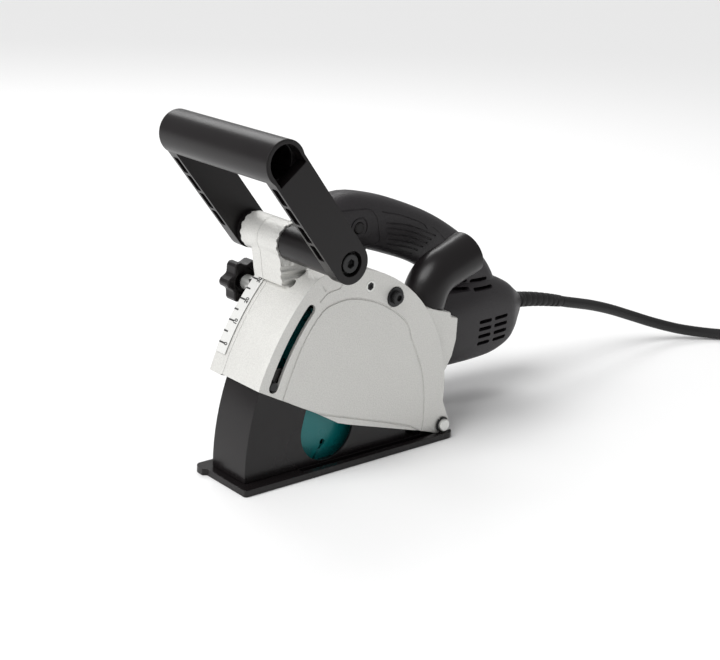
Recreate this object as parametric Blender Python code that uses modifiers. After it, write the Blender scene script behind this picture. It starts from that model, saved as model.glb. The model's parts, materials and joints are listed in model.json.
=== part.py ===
"""Wall chaser: twin diamond wheels under a plunging cover on a flat base.

Frame: origin on the base's bottom face under the rear pivot pin, in the base's middle plane.
-X is the cutting direction, +X the cord end, +Y the motor side, +Z up.
All driving sizes are millimetres; MM turns them into metres where meshes are made.
"""
import math

import bmesh
import bpy
from mathutils import Matrix, Vector

MM = 0.001
GAP = 0.3                                  # between pieces that touch

# base
BASE_X = (-197.0, 9.0)
BASE_Y = (-30.0, 29.5)
BASE_THICK = 5.0
BASE_FLOOR = 1.4                           # left under the grooves that the cover's walls dip into
GUARD_Y = (-20.0, 19.0)                    # outer faces of the inner guard
GUARD_WALL = 2.0
GUARD_R = 190.5                            # guard's front face, about the pivot
GUARD_TOP = 24.0                           # elevation of the guard's top edge, degrees
WHEEL_SLOT_X = (-175.0, -56.0)
WHEEL_SLOT_Y = (-13.0, 15.6)

# pivot and plunge
PIVOT_Z = 10.5
PIN_R = 5.0
LUG_R = 8.0
PLUNGE = 16.3                              # degrees, from raised to 30 mm deep
PIN_ARC_R = 182.0                          # guide pins, about the pivot
PIN_ELEVATION = 20.9

# cover and blade case
COVER_Y = (-23.2, 19.6)
CASE_Y = (-16.7, 22.9)
WALL = 2.6
COVER_R = 194.4                            # curved front face, about the pivot
DOME = (-115.0, 38.0, 115.0)               # centre X, centre Z and radius of the rear and top edge
SPLIT_X = -94.7                            # where the deep rim passes from the cover to the case
RAIL_Y = 35.0                              # outer edge of the scale rail
RAIL_ELEVATION = (18.9, 42.3)
HUB = (-143.0, 172.0)                      # axis of the front handle
HUB_R = 14.0
BOLT = (-59.4, 124.8)
SCREW = (-84.6, 136.6)

# spindle, wheels and motor
SPINDLE = (-105.1, 64.1)
WHEEL_R = 62.5
WHEEL_THICK = 2.2
WHEEL_BORE_R = 11.115
WHEEL_Y = (-10.0, 10.4)                    # near faces of the two wheels
SLEEVE_R = 10.9
FLANGE_R = 21.0
MOTOR_Y = 51.5
MOTOR_R = 28.2
MOTOR_X = (-70.0, 40.0)
GEAR_TEETH = 37
PINION_TEETH = 11
CONE_R = 25.0                              # bevel gear's outer pitch radius

# dust outlet
OUTLET = (-8.6, 105.4)                     # where the stem leaves the case
STEM = (0.29, 0.957)                       # stem direction in X and Z
NOZZLE_R = 17.7
NOZZLE_BORE_R = 14.6

# front handle
GRIP = (-202.3, 245.4)
GRIP_R = 15.5
ARM_Y = ((-67.0, -57.0), (44.0, 54.0))
ARM_R = 14.5

# depth stop
STOP_R = 185.5
STOP_ELEVATION = 40.0
STOP_TRAVEL = 15.2
KNOB_Y = (50.3, 62.0)
KNOB_R = 17.0

# cord
CORD_R = 5.0
CORD_POINTS = [(230, 51.5, 55.8), (248, 51.5, 51.6), (268, 51.3, 46.6), (294, 50.2, 38.8),
               (322, 47, 29), (350, 40.5, 19.2), (378, 30.5, 11), (402, 18, 6.6),
               (421, 3, 5.2), (435, -15, 5.1), (443.5, -35, 5.1), (446.7, -56, 5.1),
               (446.8, -70, 5.1)]
COIL = (522.4, -69.0)                      # centre of the coil on the floor
COIL_R = (39.6, 70.0)                      # inner and outer radius of its turns
COIL_TOP = 30.4
PLUG = (577.4, -42.0, 39.9)                # where the cord enters the plug, which points to +Y

parts = bpy.data.collections.new("wall_chaser")
materials = {}


def clear_scene():
    """Remove what the file holds, and link the object's collection."""
    for obj in list(bpy.data.objects):
        bpy.data.objects.remove(obj, do_unlink=True)
    bpy.context.scene.collection.children.link(parts)


def material(name, colour, roughness, metallic=0.0):
    """One Principled material for each finish."""
    if name not in materials:
        mat = bpy.data.materials.new(name)
        mat.use_nodes = True
        shader = mat.node_tree.nodes["Principled BSDF"]
        shader.inputs["Base Color"].default_value = (*colour, 1.0)
        shader.inputs["Roughness"].default_value = roughness
        shader.inputs["Metallic"].default_value = metallic
        materials[name] = mat
    return materials[name]


def on_arc(radius, elevation):
    """X and Z of a point about the pivot, with the elevation measured up from -X."""
    a = math.radians(elevation)
    return (-radius * math.cos(a), PIVOT_Z + radius * math.sin(a))


def arc(cx, cz, radius, start, end, count):
    """Points on an arc in X and Z, with angles in degrees from +X towards +Z."""
    angles = [math.radians(start + (end - start) * i / (count - 1)) for i in range(count)]
    return [(cx + radius * math.cos(a), cz + radius * math.sin(a)) for a in angles]


def sector(r0, r1, e0, e1, count=9):
    """Outline of a ring's sector about the pivot, between two elevations."""
    return (arc(0, PIVOT_Z, r1, 180 - e0, 180 - e1, count)
            + arc(0, PIVOT_Z, r0, 180 - e1, 180 - e0, count))


def slot(radius, half, e0, e1, count=9):
    """Outline of an arc slot about the pivot, with round ends."""
    low, high = on_arc(radius, e0), on_arc(radius, e1)
    return (arc(0, PIVOT_Z, radius + half, 180 - e0, 180 - e1, count)
            + arc(*high, half, 180 - e1, -e1, 7)[1:-1]
            + arc(0, PIVOT_Z, radius - half, 180 - e1, 180 - e0, count)
            + arc(*low, half, -e0, -e0 - 180, 7)[1:-1])


def mesh_object(bm, name="work"):
    """A bmesh in millimetres becomes an object in metres."""
    bmesh.ops.scale(bm, vec=(MM, MM, MM), verts=bm.verts)
    bmesh.ops.recalc_face_normals(bm, faces=bm.faces)
    mesh = bpy.data.meshes.new(name)
    bm.to_mesh(mesh)
    bm.free()
    obj = bpy.data.objects.new(name, mesh)
    parts.objects.link(obj)
    return obj


def bake(obj):
    """Replace an object's mesh or curve by its evaluated mesh, with caps welded."""
    graph = bpy.context.evaluated_depsgraph_get()
    mesh = bpy.data.meshes.new_from_object(obj.evaluated_get(graph))
    mesh.transform(obj.matrix_world)
    new = bpy.data.objects.new(obj.name, mesh)
    parts.objects.link(new)
    bpy.data.objects.remove(obj, do_unlink=True)
    bm = bmesh.new()
    bm.from_mesh(mesh)
    bmesh.ops.remove_doubles(bm, verts=bm.verts, dist=1e-6)
    bmesh.ops.recalc_face_normals(bm, faces=bm.faces)
    bm.to_mesh(mesh)
    bm.free()
    return new


def prism(outline, y0, y1, bevel=0.0):
    """A flat outline in X and Z, extruded along Y, with edges optionally rounded."""
    curve = bpy.data.curves.new("outline", "CURVE")
    curve.dimensions = "2D"
    curve.fill_mode = "BOTH"
    curve.extrude = (y1 - y0) / 2 * MM
    spline = curve.splines.new("POLY")
    spline.points.add(len(outline) - 1)
    for point, (x, z) in zip(spline.points, outline):
        point.co = (x * MM, z * MM, 0, 1)
    spline.use_cyclic_u = True
    obj = bpy.data.objects.new("prism", curve)
    obj.matrix_world = (Matrix.Translation((0, (y0 + y1) / 2 * MM, 0))
                        @ Matrix.Rotation(math.pi / 2, 4, "X"))
    parts.objects.link(obj)
    bpy.context.view_layer.update()
    return round_edges(bake(obj), bevel)


def plan(outline, z0, z1):
    """A flat outline in X and Y, extruded up Z."""
    obj = prism(outline, -z1, -z0)
    obj.data.transform(Matrix.Rotation(-math.pi / 2, 4, "X"))
    return obj


def round_edges(obj, width, segments=1, angle=35):
    """Bevel the sharp edges of a baked object."""
    if width <= 0:
        return obj
    modifier = obj.modifiers.new("bevel", "BEVEL")
    modifier.width = width * MM
    modifier.segments = segments
    modifier.limit_method = "ANGLE"
    modifier.angle_limit = math.radians(angle)
    return bake(obj)


def box(x0, x1, y0, y1, z0, z1, bevel=0.0, segments=1):
    """A box from its limits."""
    bm = bmesh.new()
    bmesh.ops.create_cube(bm, size=1)
    bmesh.ops.scale(bm, vec=(x1 - x0, y1 - y0, z1 - z0), verts=bm.verts)
    bmesh.ops.translate(bm, vec=((x0 + x1) / 2, (y0 + y1) / 2, (z0 + z1) / 2), verts=bm.verts)
    return round_edges(mesh_object(bm), bevel, segments)


def rod(start, end, radius, sides=18, end_radius=None):
    """A cylinder, or a cone, between two points."""
    a, b = Vector(start), Vector(end)
    bm = bmesh.new()
    bmesh.ops.create_cone(bm, cap_ends=True, segments=sides, radius1=radius,
                          radius2=radius if end_radius is None else end_radius,
                          depth=(b - a).length)
    turn = Vector((0, 0, 1)).rotation_difference(b - a).to_matrix().to_4x4()
    bm.transform(Matrix.Translation((a + b) / 2) @ turn)
    return mesh_object(bm)


def rod_y(centre, y0, y1, radius, sides=18):
    """A cylinder along Y at an X and Z."""
    return rod((centre[0], y0, centre[1]), (centre[0], y1, centre[1]), radius, sides)


def turned(profile, origin, axis, sides=22):
    """A closed profile of (radius, height) pairs, turned about an axis through an origin."""
    bm = bmesh.new()
    verts = [bm.verts.new((r * MM, 0, h * MM)) for r, h in profile]
    for a, b in zip(verts, verts[1:] + verts[:1]):
        if a.co.x > 0 or b.co.x > 0:
            bm.edges.new((a, b))
    mesh = bpy.data.meshes.new("profile")
    bm.to_mesh(mesh)
    bm.free()
    obj = bpy.data.objects.new("turned", mesh)
    parts.objects.link(obj)
    screw = obj.modifiers.new("screw", "SCREW")
    screw.steps = screw.render_steps = sides
    screw.use_merge_vertices = True
    screw.merge_threshold = 1e-6
    screw.use_normal_calculate = True
    turn = Vector((0, 0, 1)).rotation_difference(Vector(axis)).to_matrix().to_4x4()
    obj.matrix_world = Matrix.Translation(Vector(origin) * MM) @ turn
    bpy.context.view_layer.update()
    return bake(obj)


def ring_y(centre, y0, y1, inner, outer, sides=20):
    """A plain ring about a Y axis."""
    length = y1 - y0
    profile = [(inner, length), (outer, length), (outer, 0), (inner, 0)]
    return turned(profile, (centre[0], y0, centre[1]), (0, 1, 0), sides)


def boolean(obj, other, operation):
    """Apply a Boolean and remove its second object."""
    modifier = obj.modifiers.new("boolean", "BOOLEAN")
    modifier.object = other
    modifier.operation = operation
    modifier.solver = "EXACT"
    bpy.context.view_layer.update()
    new = bake(obj)
    bpy.data.objects.remove(other, do_unlink=True)
    return new


def cut(obj, *cutters):
    """Subtract cutters one after another."""
    for cutter in cutters:
        obj = boolean(obj, cutter, "DIFFERENCE")
    return obj


def join(obj, *others):
    """Unite with other solids."""
    for other in others:
        obj = boolean(obj, other, "UNION")
    return obj


def loft(rings):
    """A closed solid through rings of points, which all have the same count."""
    bm = bmesh.new()
    loops = [[bm.verts.new(p) for p in ring] for ring in rings]
    count = len(loops[0])
    for low, high in zip(loops, loops[1:]):
        for i in range(count):
            j = (i + 1) % count
            bm.faces.new((low[i], low[j], high[j], high[i]))
    bm.faces.new(loops[0][::-1])
    bm.faces.new(loops[-1])
    return mesh_object(bm)


def keep(name, obj, finish, origin=None):
    """Name a finished piece, give it its material, and set its origin on its joint's axis."""
    bm = bmesh.new()
    bm.from_mesh(obj.data)
    bmesh.ops.dissolve_degenerate(bm, dist=1e-6, edges=bm.edges)
    bmesh.ops.triangulate(bm, faces=[f for f in bm.faces if len(f.verts) > 4])
    bm.to_mesh(obj.data)
    bm.free()
    obj.name = obj.data.name = name
    obj.data.materials.clear()
    obj.data.materials.append(finish)
    obj.data.shade_smooth()
    obj.data.set_sharp_from_angle(angle=math.radians(35))
    if origin is not None:
        place = Vector(origin) * MM
        obj.data.transform(Matrix.Translation(-place))
        obj.location = place
    return obj


def finishes():
    """The object's materials."""
    material("cast_silver", (0.72, 0.72, 0.70), 0.42, 0.75)
    material("black_coat", (0.035, 0.033, 0.034), 0.45)
    material("black_plastic", (0.022, 0.022, 0.025), 0.5)
    material("dark_housing", (0.05, 0.048, 0.052), 0.55)
    material("steel", (0.62, 0.62, 0.62), 0.3, 1.0)
    material("zinc", (0.66, 0.68, 0.66), 0.32, 1.0)
    material("black_steel", (0.05, 0.05, 0.052), 0.4, 0.8)
    material("wheel_teal", (0.0, 0.16, 0.15), 0.35, 0.2)
    material("copper", (0.72, 0.38, 0.2), 0.35, 1.0)
    material("label_white", (0.85, 0.85, 0.84), 0.45)
    material("rubber", (0.02, 0.02, 0.021), 0.7)


# ---------------------------------------------------------------- base

def base_plate():
    """Flat shoe with the wheel slot, two grooves, the pivot ears and a spring pocket."""
    x0, x1 = BASE_X
    y0, y1 = BASE_Y
    outline = ([(x0, y0 + 1.5), (x0 + 1.5, y0)] + arc(x1 - 7, y0 + 7, 7, -90, 0, 5)
               + arc(x1 - 5, y1 - 5, 5, 0, 90, 4)
               + arc(x0 + 3, y1 - 6, 6, 90, 180, 5) + [(x0 - 3, y1 - 11), (x0, y1 - 13)])
    plate = plan(outline, 0, BASE_THICK)
    for y, side in ((GUARD_Y[0], -1), (GUARD_Y[1], 1)):
        ear_y = sorted((y, y - side * 6.0))
        ear = prism([(9, 3), (9, PIVOT_Z)] + arc(0, PIVOT_Z, 9, 0, 180, 9) + [(-9, 3)], *ear_y)
        plate = join(plate, ear)
    wheel_slot = box(*WHEEL_SLOT_X, *WHEEL_SLOT_Y, -2, 8)
    near_groove = box(-142, 12, -24.9, GUARD_Y[0], BASE_FLOOR, 16)
    far_groove = box(-142, 12, GUARD_Y[1], 24.2, BASE_FLOOR, 16)
    head_groove = box(-9, 12, GUARD_Y[1], 33, BASE_FLOOR, 16)
    pocket = box(-9.5, 12, -13, 12, 2.2, 8)
    bore = rod_y((0, PIVOT_Z), -40, 40, PIN_R + 0.1)
    plate = cut(plate, wheel_slot, near_groove, far_groove, head_groove, pocket, bore)
    for y in (-9.0, 9.0):
        plate = cut(plate, rod((-182.5, y, -2), (-182.5, y, 8), 2.7, 12))
    keep("base_plate", plate, materials["black_coat"])


def inner_guard():
    """Folded box that hides the wheels when the head is up, with slots for the spindle."""
    top = on_arc(GUARD_R, GUARD_TOP)
    foot = BASE_THICK + GAP
    start = math.degrees(math.asin((foot - PIVOT_Z) / GUARD_R))
    outline = (arc(0, PIVOT_Z, GUARD_R, 180 - start, 180 - GUARD_TOP, 10)
               + [(top[0] + 14, top[1] - 1), (-48, 44), (-36, 26), (-36, foot)])
    inner_r = GUARD_R - GUARD_WALL
    hollow = (arc(0, PIVOT_Z, inner_r, 183, 150, 12) + [(-20, 120), (-20, -10), (-190, -10)])
    guard = prism(outline, *GUARD_Y)
    guard = cut(guard, prism(hollow, GUARD_Y[0] + GUARD_WALL, GUARD_Y[1] - GUARD_WALL))
    front_foot = box(-188.6, -177, GUARD_Y[0] + 1, GUARD_Y[1] - 1, foot, foot + GUARD_WALL)
    guard = join(guard, front_foot)
    radius = math.hypot(SPINDLE[0], SPINDLE[1] - PIVOT_Z)
    raised = math.degrees(math.asin((SPINDLE[1] - PIVOT_Z) / radius))
    guard = cut(guard, prism(slot(radius, 24.4, raised - PLUNGE - 0.6, raised + 30, 12), -40, 40))
    for y in (-9.0, 9.0):
        guard = cut(guard, rod((-182.5, y, 0), (-182.5, y, 12), 2.7, 12))
    pin = on_arc(PIN_ARC_R, PIN_ELEVATION)
    guard = cut(guard, rod_y(pin, -40, 40, 2.8, 16))
    keep("inner_guard", guard, materials["black_coat"])
    for i, y in enumerate((-9.0, 9.0), 1):
        screw = turned([(0, 3.2), (2, 3.2), (4.2, 1.8), (4.2, 0.0), (2.4, 0), (2.4, -6.6), (0, -6.6)],
                       (-182.5, y, foot + GUARD_WALL + GAP), (0, 0, 1), 16)
        keep(f"guard_screw_{i}", screw, materials["black_steel"])


def guide_pins():
    """Pins of the guard that run in the arc slots of the cover and of the blade case."""
    pin = on_arc(PIN_ARC_R, PIN_ELEVATION)
    near = turned([(0, 5.6), (3.0, 5.6), (3.5, 5.1), (3.5, 2.6), (2.5, 2.6), (2.5, 0), (4.0, 0),
                   (4.0, -2.2), (0, -2.2)],
                  (pin[0], GUARD_Y[0] + GUARD_WALL + GAP, pin[1]), (0, -1, 0), 16)
    keep("guide_pin_near", near, materials["black_steel"])
    far = turned([(0, 6.6), (3.0, 6.6), (3.5, 6.1), (3.5, 2.6), (2.5, 2.6), (2.5, 0), (4.0, 0),
                  (4.0, -2.2), (0, -2.2)],
                 (pin[0], GUARD_Y[1] - GUARD_WALL - GAP, pin[1]), (0, 1, 0), 16)
    keep("guide_pin_far", far, materials["black_steel"])


def pivot():
    """Rear pin with a head, its retaining clip, and the torsion spring that lifts the head."""
    pin = turned([(0, 51.7), (4.4, 51.7), (PIN_R, 51.0), (PIN_R, 48.9), (4.2, 48.9), (4.2, 47.4),
                  (PIN_R, 47.4), (PIN_R, 0.6), (7.4, 0.6), (7.4, -2.0), (6.8, -2.6), (0, -2.6)],
                 (0, 24, PIVOT_Z), (0, -1, 0), 20)
    keep("pivot_pin", pin, materials["zinc"])
    clip = ring_y((0, PIVOT_Z), -24.6, -23.7, 4.4, 7.4, 16)
    clip = cut(clip, box(-3.2, 3.2, -28, -20, PIVOT_Z, PIVOT_Z + 12))
    keep("pivot_clip", clip, materials["black_steel"])
    turns, steps = 6, 10
    path = []
    for i in range(turns * steps + 1):
        a = 2 * math.pi * i / steps
        path.append((6.5 * math.cos(a), -9.6 + 19.0 * i / (turns * steps),
                     PIVOT_Z + 6.5 * math.sin(a)))
    keep("return_spring", wire(path, 0.9, 0), materials["steel"])


def wire(points, radius, resolution=2):
    """A round wire on a POLY spline, with filled caps."""
    curve = bpy.data.curves.new("wire", "CURVE")
    curve.dimensions = "3D"
    curve.bevel_depth = radius * MM
    curve.bevel_resolution = resolution
    curve.use_fill_caps = True
    curve.render_resolution_u = 0
    spline = curve.splines.new("POLY")
    spline.points.add(len(points) - 1)
    for point, co in zip(spline.points, points):
        point.co = (*[c * MM for c in co], 1)
    obj = bpy.data.objects.new("wire", curve)
    parts.objects.link(obj)
    bpy.context.view_layer.update()
    return bake(obj)


# ---------------------------------------------------------------- cover and case

def cover_outline():
    """Side outline of the cover: front arc, dome, pivot lug and lower edge."""
    cx, cz, radius = DOME
    return (arc(0, PIVOT_Z, COVER_R, 180 - 19.2, 180 - 41.5, 10) + [(-136.5, 147.6), (-130.5, 150.2)]
            + arc(cx, cz, radius, 96, -4, 22) + arc(0, PIVOT_Z, LUG_R, 38, -112, 8)
            + [(-17, 8.0), (-96.6, 31.0), (-108.7, 35.0), (-128.5, 46.4)])


def cavity_outline():
    """Inside of the rim, open at the bottom."""
    cx, cz, radius = DOME
    return (arc(0, PIVOT_Z, COVER_R - WALL, 186, 180 - 41, 14) + [(-134.5, 145), (-129.5, 147.4)]
            + arc(cx, cz, radius - WALL, 96, -3, 16) + [(-16, 18), (-16, -30), (-205, -30)])


def neck_outline():
    """Foot of the handle hub, which flows into the cover's front."""
    x, z = HUB
    return [(x - 13, z), (x - 9.5, z - 16), (x - 8.5, z - 24), (x - 7, z - 31), (x + 6, z - 33),
            (x + 12, z - 26), (x + 16, z - 23), (x + 10.5, z - 14), (x + 12.5, z)]


def ear_room():
    """Space for the base's pivot ears and the spring inside the cover."""
    return join(rod_y((0, PIVOT_Z), GUARD_Y[0] - 0.3, GUARD_Y[1] + 0.3, 11.0, 20),
                box(-30, 14, GUARD_Y[0] - 0.3, GUARD_Y[1] + 0.3, -20, PIVOT_Z))


def wheel_cover():
    """Near casting: side face, curved front, and the near half of the handle hub."""
    cover = prism(cover_outline(), *COVER_Y)
    hub = join(prism(neck_outline(), -3, COVER_Y[1]), rod_y(HUB, -3, COVER_Y[1], HUB_R, 24))
    cover = join(cover, hub)
    cover = cut(cover, prism(cavity_outline(), COVER_Y[0] + WALL, 60),
                box(SPLIT_X - GAP, 60, CASE_Y[0] - GAP, 60, -20, 200),
                prism(slot(PIN_ARC_R, 4.0, PIN_ELEVATION - 0.3, PIN_ELEVATION + 19.0, 13), -40, -10),
                rod_y((0, PIVOT_Z), -40, 0, PIN_R + 0.15),
                rod_y(BOLT, -40, 0, 3.3, 16), rod_y(BOLT, -40, COVER_Y[0] + 0.9, 7.9),
                rod_y(SCREW, -40, 0, 4.4, 16), rod_y(HUB, -20, 60, 4.4), ear_room())
    keep("wheel_cover", cover, materials["cast_silver"])
    washer = ring_y(BOLT, COVER_Y[0] - 1.0, COVER_Y[0] + 0.6, 3.3, 7.5)
    keep("cover_washer", washer, materials["black_steel"])
    keep("cover_bolt", socket_bolt(BOLT, COVER_Y[0] - 1.3, 5.0, 3.4, 3.0, 26, 2.6), materials["black_steel"])
    keep("cover_screw", socket_bolt(SCREW, COVER_Y[0] + 1.6, 4.0, 1.4, 2.6, 22, 1.8), materials["black_steel"])


def socket_bolt(centre, y, head_r, head, shank_r, length, hex_r, direction=1):
    """A bolt along Y with a hexagon socket, whose head's underside is at y."""
    bolt = turned([(0, head), (head_r - 0.5, head), (head_r, head - 0.5), (head_r, 0), (shank_r, 0),
                   (shank_r, -length), (0, -length)],
                  (centre[0], y, centre[1]), (0, -direction, 0), 16)
    depth = min(head * 0.7, 3.0)
    top = y - direction * head
    ends = sorted((top - direction * 2, top + direction * depth))
    socket = rod_y(centre, *ends, hex_r, 6)
    return cut(bolt, socket)


def blade_case():
    """Far casting: back plate, rear rim, dust outlet, scale rail and far half of the hub."""
    case = prism(cover_outline(), *CASE_Y)
    e0, e1 = RAIL_ELEVATION
    rail = cut(prism(sector(175, COVER_R - 0.1, e0, e1), CASE_Y[1] - 1.5, RAIL_Y),
               prism(sector(160, COVER_R - WALL - 0.4, e0 + 1, e1 - 1), CASE_Y[1] + 0.2, RAIL_Y - 3))
    block = prism([(-34, 96), (-19, 108.6), (8, 100.2), (9, 96.6), (16.5, 94.2), (16.5, 76),
                   (13.5, 64), (8, 54), (-3, 40), (-10, 60), (-22, 88)], -16.7, 16.2, 1.2)
    hub = join(prism(neck_outline(), CASE_Y[1] - 3.0, 30), rod_y(HUB, CASE_Y[1] - 3.0, 40, HUB_R, 24))
    case = join(case, block, rail, hub)
    ox, oz = OUTLET
    sx, sz = STEM
    room = cut(prism(cavity_outline(), -60, CASE_Y[1] - 3.0),
               *[rod_y(c, -70, 70, 7.0, 16) for c in (BOLT, SCREW)])
    room = join(room, box(-300, SPLIT_X, -60, CASE_Y[1] - 3.0, -20, 260), ear_room())
    duct = rod((ox - 46 * sx, 0, oz - 46 * sz), (ox + 10 * sx, 0, oz + 10 * sz), 13.9, 20)
    case = cut(case, room, duct, rod_y(SPINDLE, 0, 60, 17.5, 24),
               prism(slot(PIN_ARC_R, 4.1, PIN_ELEVATION - 0.5, PIN_ELEVATION + 18.2, 13), 0, 27.0),
               prism(slot(STOP_R, 3.3, STOP_ELEVATION - STOP_TRAVEL - 0.8, STOP_ELEVATION + 0.8, 9),
                     RAIL_Y - 6, 60),
               rod_y((0, PIVOT_Z), 0, 60, PIN_R + 0.15), rod_y(HUB, 0, 60, 4.4),
               rod_y(BOLT, -60, CASE_Y[1] - 8, 3.2, 16), rod_y(SCREW, -60, CASE_Y[1] - 8, 2.9, 16))
    keep("blade_case", case, materials["cast_silver"])
    scale = prism(sector(COVER_R + GAP, COVER_R + 0.9, 23.2, 41.6, 12), 23.4, RAIL_Y - 0.6)
    keep("scale_plate", scale, materials["label_white"])


def outlet_nozzle():
    """Dust elbow that swivels on the outlet."""
    ox, oz = OUTLET
    sx, sz = STEM
    tilt = math.atan2(sx, sz)
    corner = (-2.2, 126.3)
    bend, turn = 26.0, math.radians(52.6)
    tangent = bend * math.tan(turn / 2)
    start = (corner[0] - tangent * sx, corner[1] - tangent * sz)
    centre = (start[0] + bend * sz, start[1] - bend * sx)
    path = [((ox + 0.4 * sx, oz + 0.4 * sz), tilt)]
    for i in range(6):
        a = tilt + turn * i / 5
        path.append(((centre[0] - bend * math.cos(a), centre[1] + bend * math.sin(a)), a))
    end = tilt + turn
    (lx, lz), _ = path[-1]
    path.append(((lx + 30 * math.sin(end), lz + 30 * math.cos(end)), end))

    def tube(radius, extra):
        rings = []
        stations = list(path)
        if extra:
            (px, pz), a = stations[0]
            stations[0] = ((px - extra * math.sin(a), pz - extra * math.cos(a)), a)
            (px, pz), a = stations[-1]
            stations[-1] = ((px + 5 * math.sin(a), pz + 5 * math.cos(a)), a)
        for (px, pz), a in stations:
            rings.append([(px + radius * math.cos(t) * math.cos(a), radius * math.sin(t),
                           pz - radius * math.cos(t) * math.sin(a))
                          for t in (2 * math.pi * k / 20 for k in range(20))])
        return loft(rings)

    spigot = rod((ox - 7 * sx, 0, oz - 7 * sz), (ox + 3 * sx, 0, oz + 3 * sz), 13.6, 20)
    nozzle = join(tube(NOZZLE_R, 0), spigot)
    nozzle = cut(nozzle, tube(12.2, 14))
    mouth = rod((lx + 22 * math.sin(end), 0, lz + 22 * math.cos(end)),
                (lx + 34 * math.sin(end), 0, lz + 34 * math.cos(end)), NOZZLE_BORE_R + 1.0, 20)
    nozzle = cut(nozzle, mouth)
    keep("dust_nozzle", nozzle, materials["black_plastic"], (ox, 0, oz))


# ---------------------------------------------------------------- drive

def wheel(name, y):
    """Diamond wheel: a disc with ten slanted gullets that end in round holes."""
    cx, cz = SPINDLE
    disc = ring_y(SPINDLE, y, y + WHEEL_THICK, WHEEL_BORE_R, WHEEL_R, 60)
    for i in range(10):
        a = math.radians(36 * i + 11)
        lean = a + math.radians(7)
        tip = (cx + 66 * math.cos(a), cz + 66 * math.sin(a))
        root = (cx + 48.5 * math.cos(lean), cz + 48.5 * math.sin(lean))
        nx, nz = -math.sin(a), math.cos(a)
        gullet = prism([(tip[0] + 1.5 * nx, tip[1] + 1.5 * nz), (tip[0] - 1.5 * nx, tip[1] - 1.5 * nz),
                        (root[0] - 0.9 * nx, root[1] - 0.9 * nz),
                        (root[0] + 0.9 * nx, root[1] + 0.9 * nz)], y - 2, y + 5)
        disc = cut(disc, gullet, rod_y(root, y - 2.5, y + 5.5, 2.6, 7))
    keep(name, disc, materials["wheel_teal"], (cx, y, cz))


def spindle_set():
    """Spindle with its gear, inner flange, two wheels, two spacers and the lock nut."""
    cx, cz = SPINDLE
    origin = (cx, 0, cz)
    spindle = turned([(0, 94.6), (5.8, 94.6), (5.8, 83.0), (7.3, 83.0), (7.3, 59), (7.3, 44), (7.3, 43),
                      (9.0, 43), (9.0, 39.0), (SLEEVE_R, 39.0), (SLEEVE_R, 9.6), (7.0, 9.6),
                      (7.0, 0.8), (6.2, 0), (0, 0)],
                     (cx, -19.6, cz), (0, 1, 0), 20)
    keep("spindle", spindle, materials["steel"], origin)
    wheel("wheel_near", WHEEL_Y[0])
    wheel("wheel_far", WHEEL_Y[1])
    low = WHEEL_Y[0] + WHEEL_THICK + GAP
    high = WHEEL_Y[1] - GAP
    middle = low + 6.0
    keep("spacer_narrow", ring_y(SPINDLE, low, middle, WHEEL_BORE_R, FLANGE_R), materials["zinc"], origin)
    keep("spacer_wide", ring_y(SPINDLE, middle + GAP, high, WHEEL_BORE_R, FLANGE_R), materials["zinc"],
         origin)
    flange_y = WHEEL_Y[1] + WHEEL_THICK + GAP
    flange = turned([(WHEEL_BORE_R, 6.4), (14, 6.4), (FLANGE_R, 2.6), (FLANGE_R, 0), (WHEEL_BORE_R, 0)],
                    (cx, flange_y, cz), (0, 1, 0), 20)
    keep("inner_flange", flange, materials["black_steel"], origin)
    nut = turned([(7.2, 7.4), (13.0, 7.4), (14.0, 6.6), (FLANGE_R, 3.4), (FLANGE_R, 0), (7.2, 0)],
                 (cx, WHEEL_Y[0] - GAP, cz), (0, -1, 0), 20)
    holes = [rod_y((cx + 17 * math.cos(a), cz + 17 * math.sin(a)), -30, WHEEL_Y[0] - 2.4, 2.1, 10)
             for a in (math.pi / 4 * k for k in (1, 3, 5, 7))]
    keep("lock_nut", cut(nut, *holes), materials["black_steel"], origin)
    gear = bevel_gear(GEAR_TEETH, CONE_R, 7.5, 7.4, 1.0)
    gear.data.transform(place_axis((cx, MOTOR_Y - 0.35, cz), (0, 1, 0)))
    gear = join(gear, rod_y(SPINDLE, 38.8, 44.5, 16, 20))
    gear = cut(gear, rod_y(SPINDLE, 30, 60, 7.6, 20))
    keep("spindle_gear", gear, materials["steel"], origin)


def place_axis(origin, axis):
    """Matrix in metres that puts local +Z on an axis through an origin."""
    turn = Vector((0, 0, 1)).rotation_difference(Vector(axis)).to_matrix().to_4x4()
    return Matrix.Translation(Vector(origin) * MM) @ turn


def bevel_gear(teeth, pitch_r, other_r, face, depth):
    """Bevel gear with its cone's tip at the origin and its body towards -Z."""
    slant = math.hypot(pitch_r, other_r)
    rings = []
    for scale, drop in ((1.0, 5.0), (1.0, 0.0), (1.0 - face / slant, 0.0)):
        ring = []
        for k in range(teeth * 4):
            tooth = (0.0, -depth, -depth, 0.0)[k % 4]
            a = 2 * math.pi * (k - 0.5) / (teeth * 4)
            r = pitch_r * scale
            z = -other_r * scale
            if drop:
                r, z, tooth = r - 3.0, z - drop, 0.0
            ring.append((r * math.cos(a), r * math.sin(a), z + tooth * scale))
        rings.append(ring)
    return loft(rings)


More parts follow.
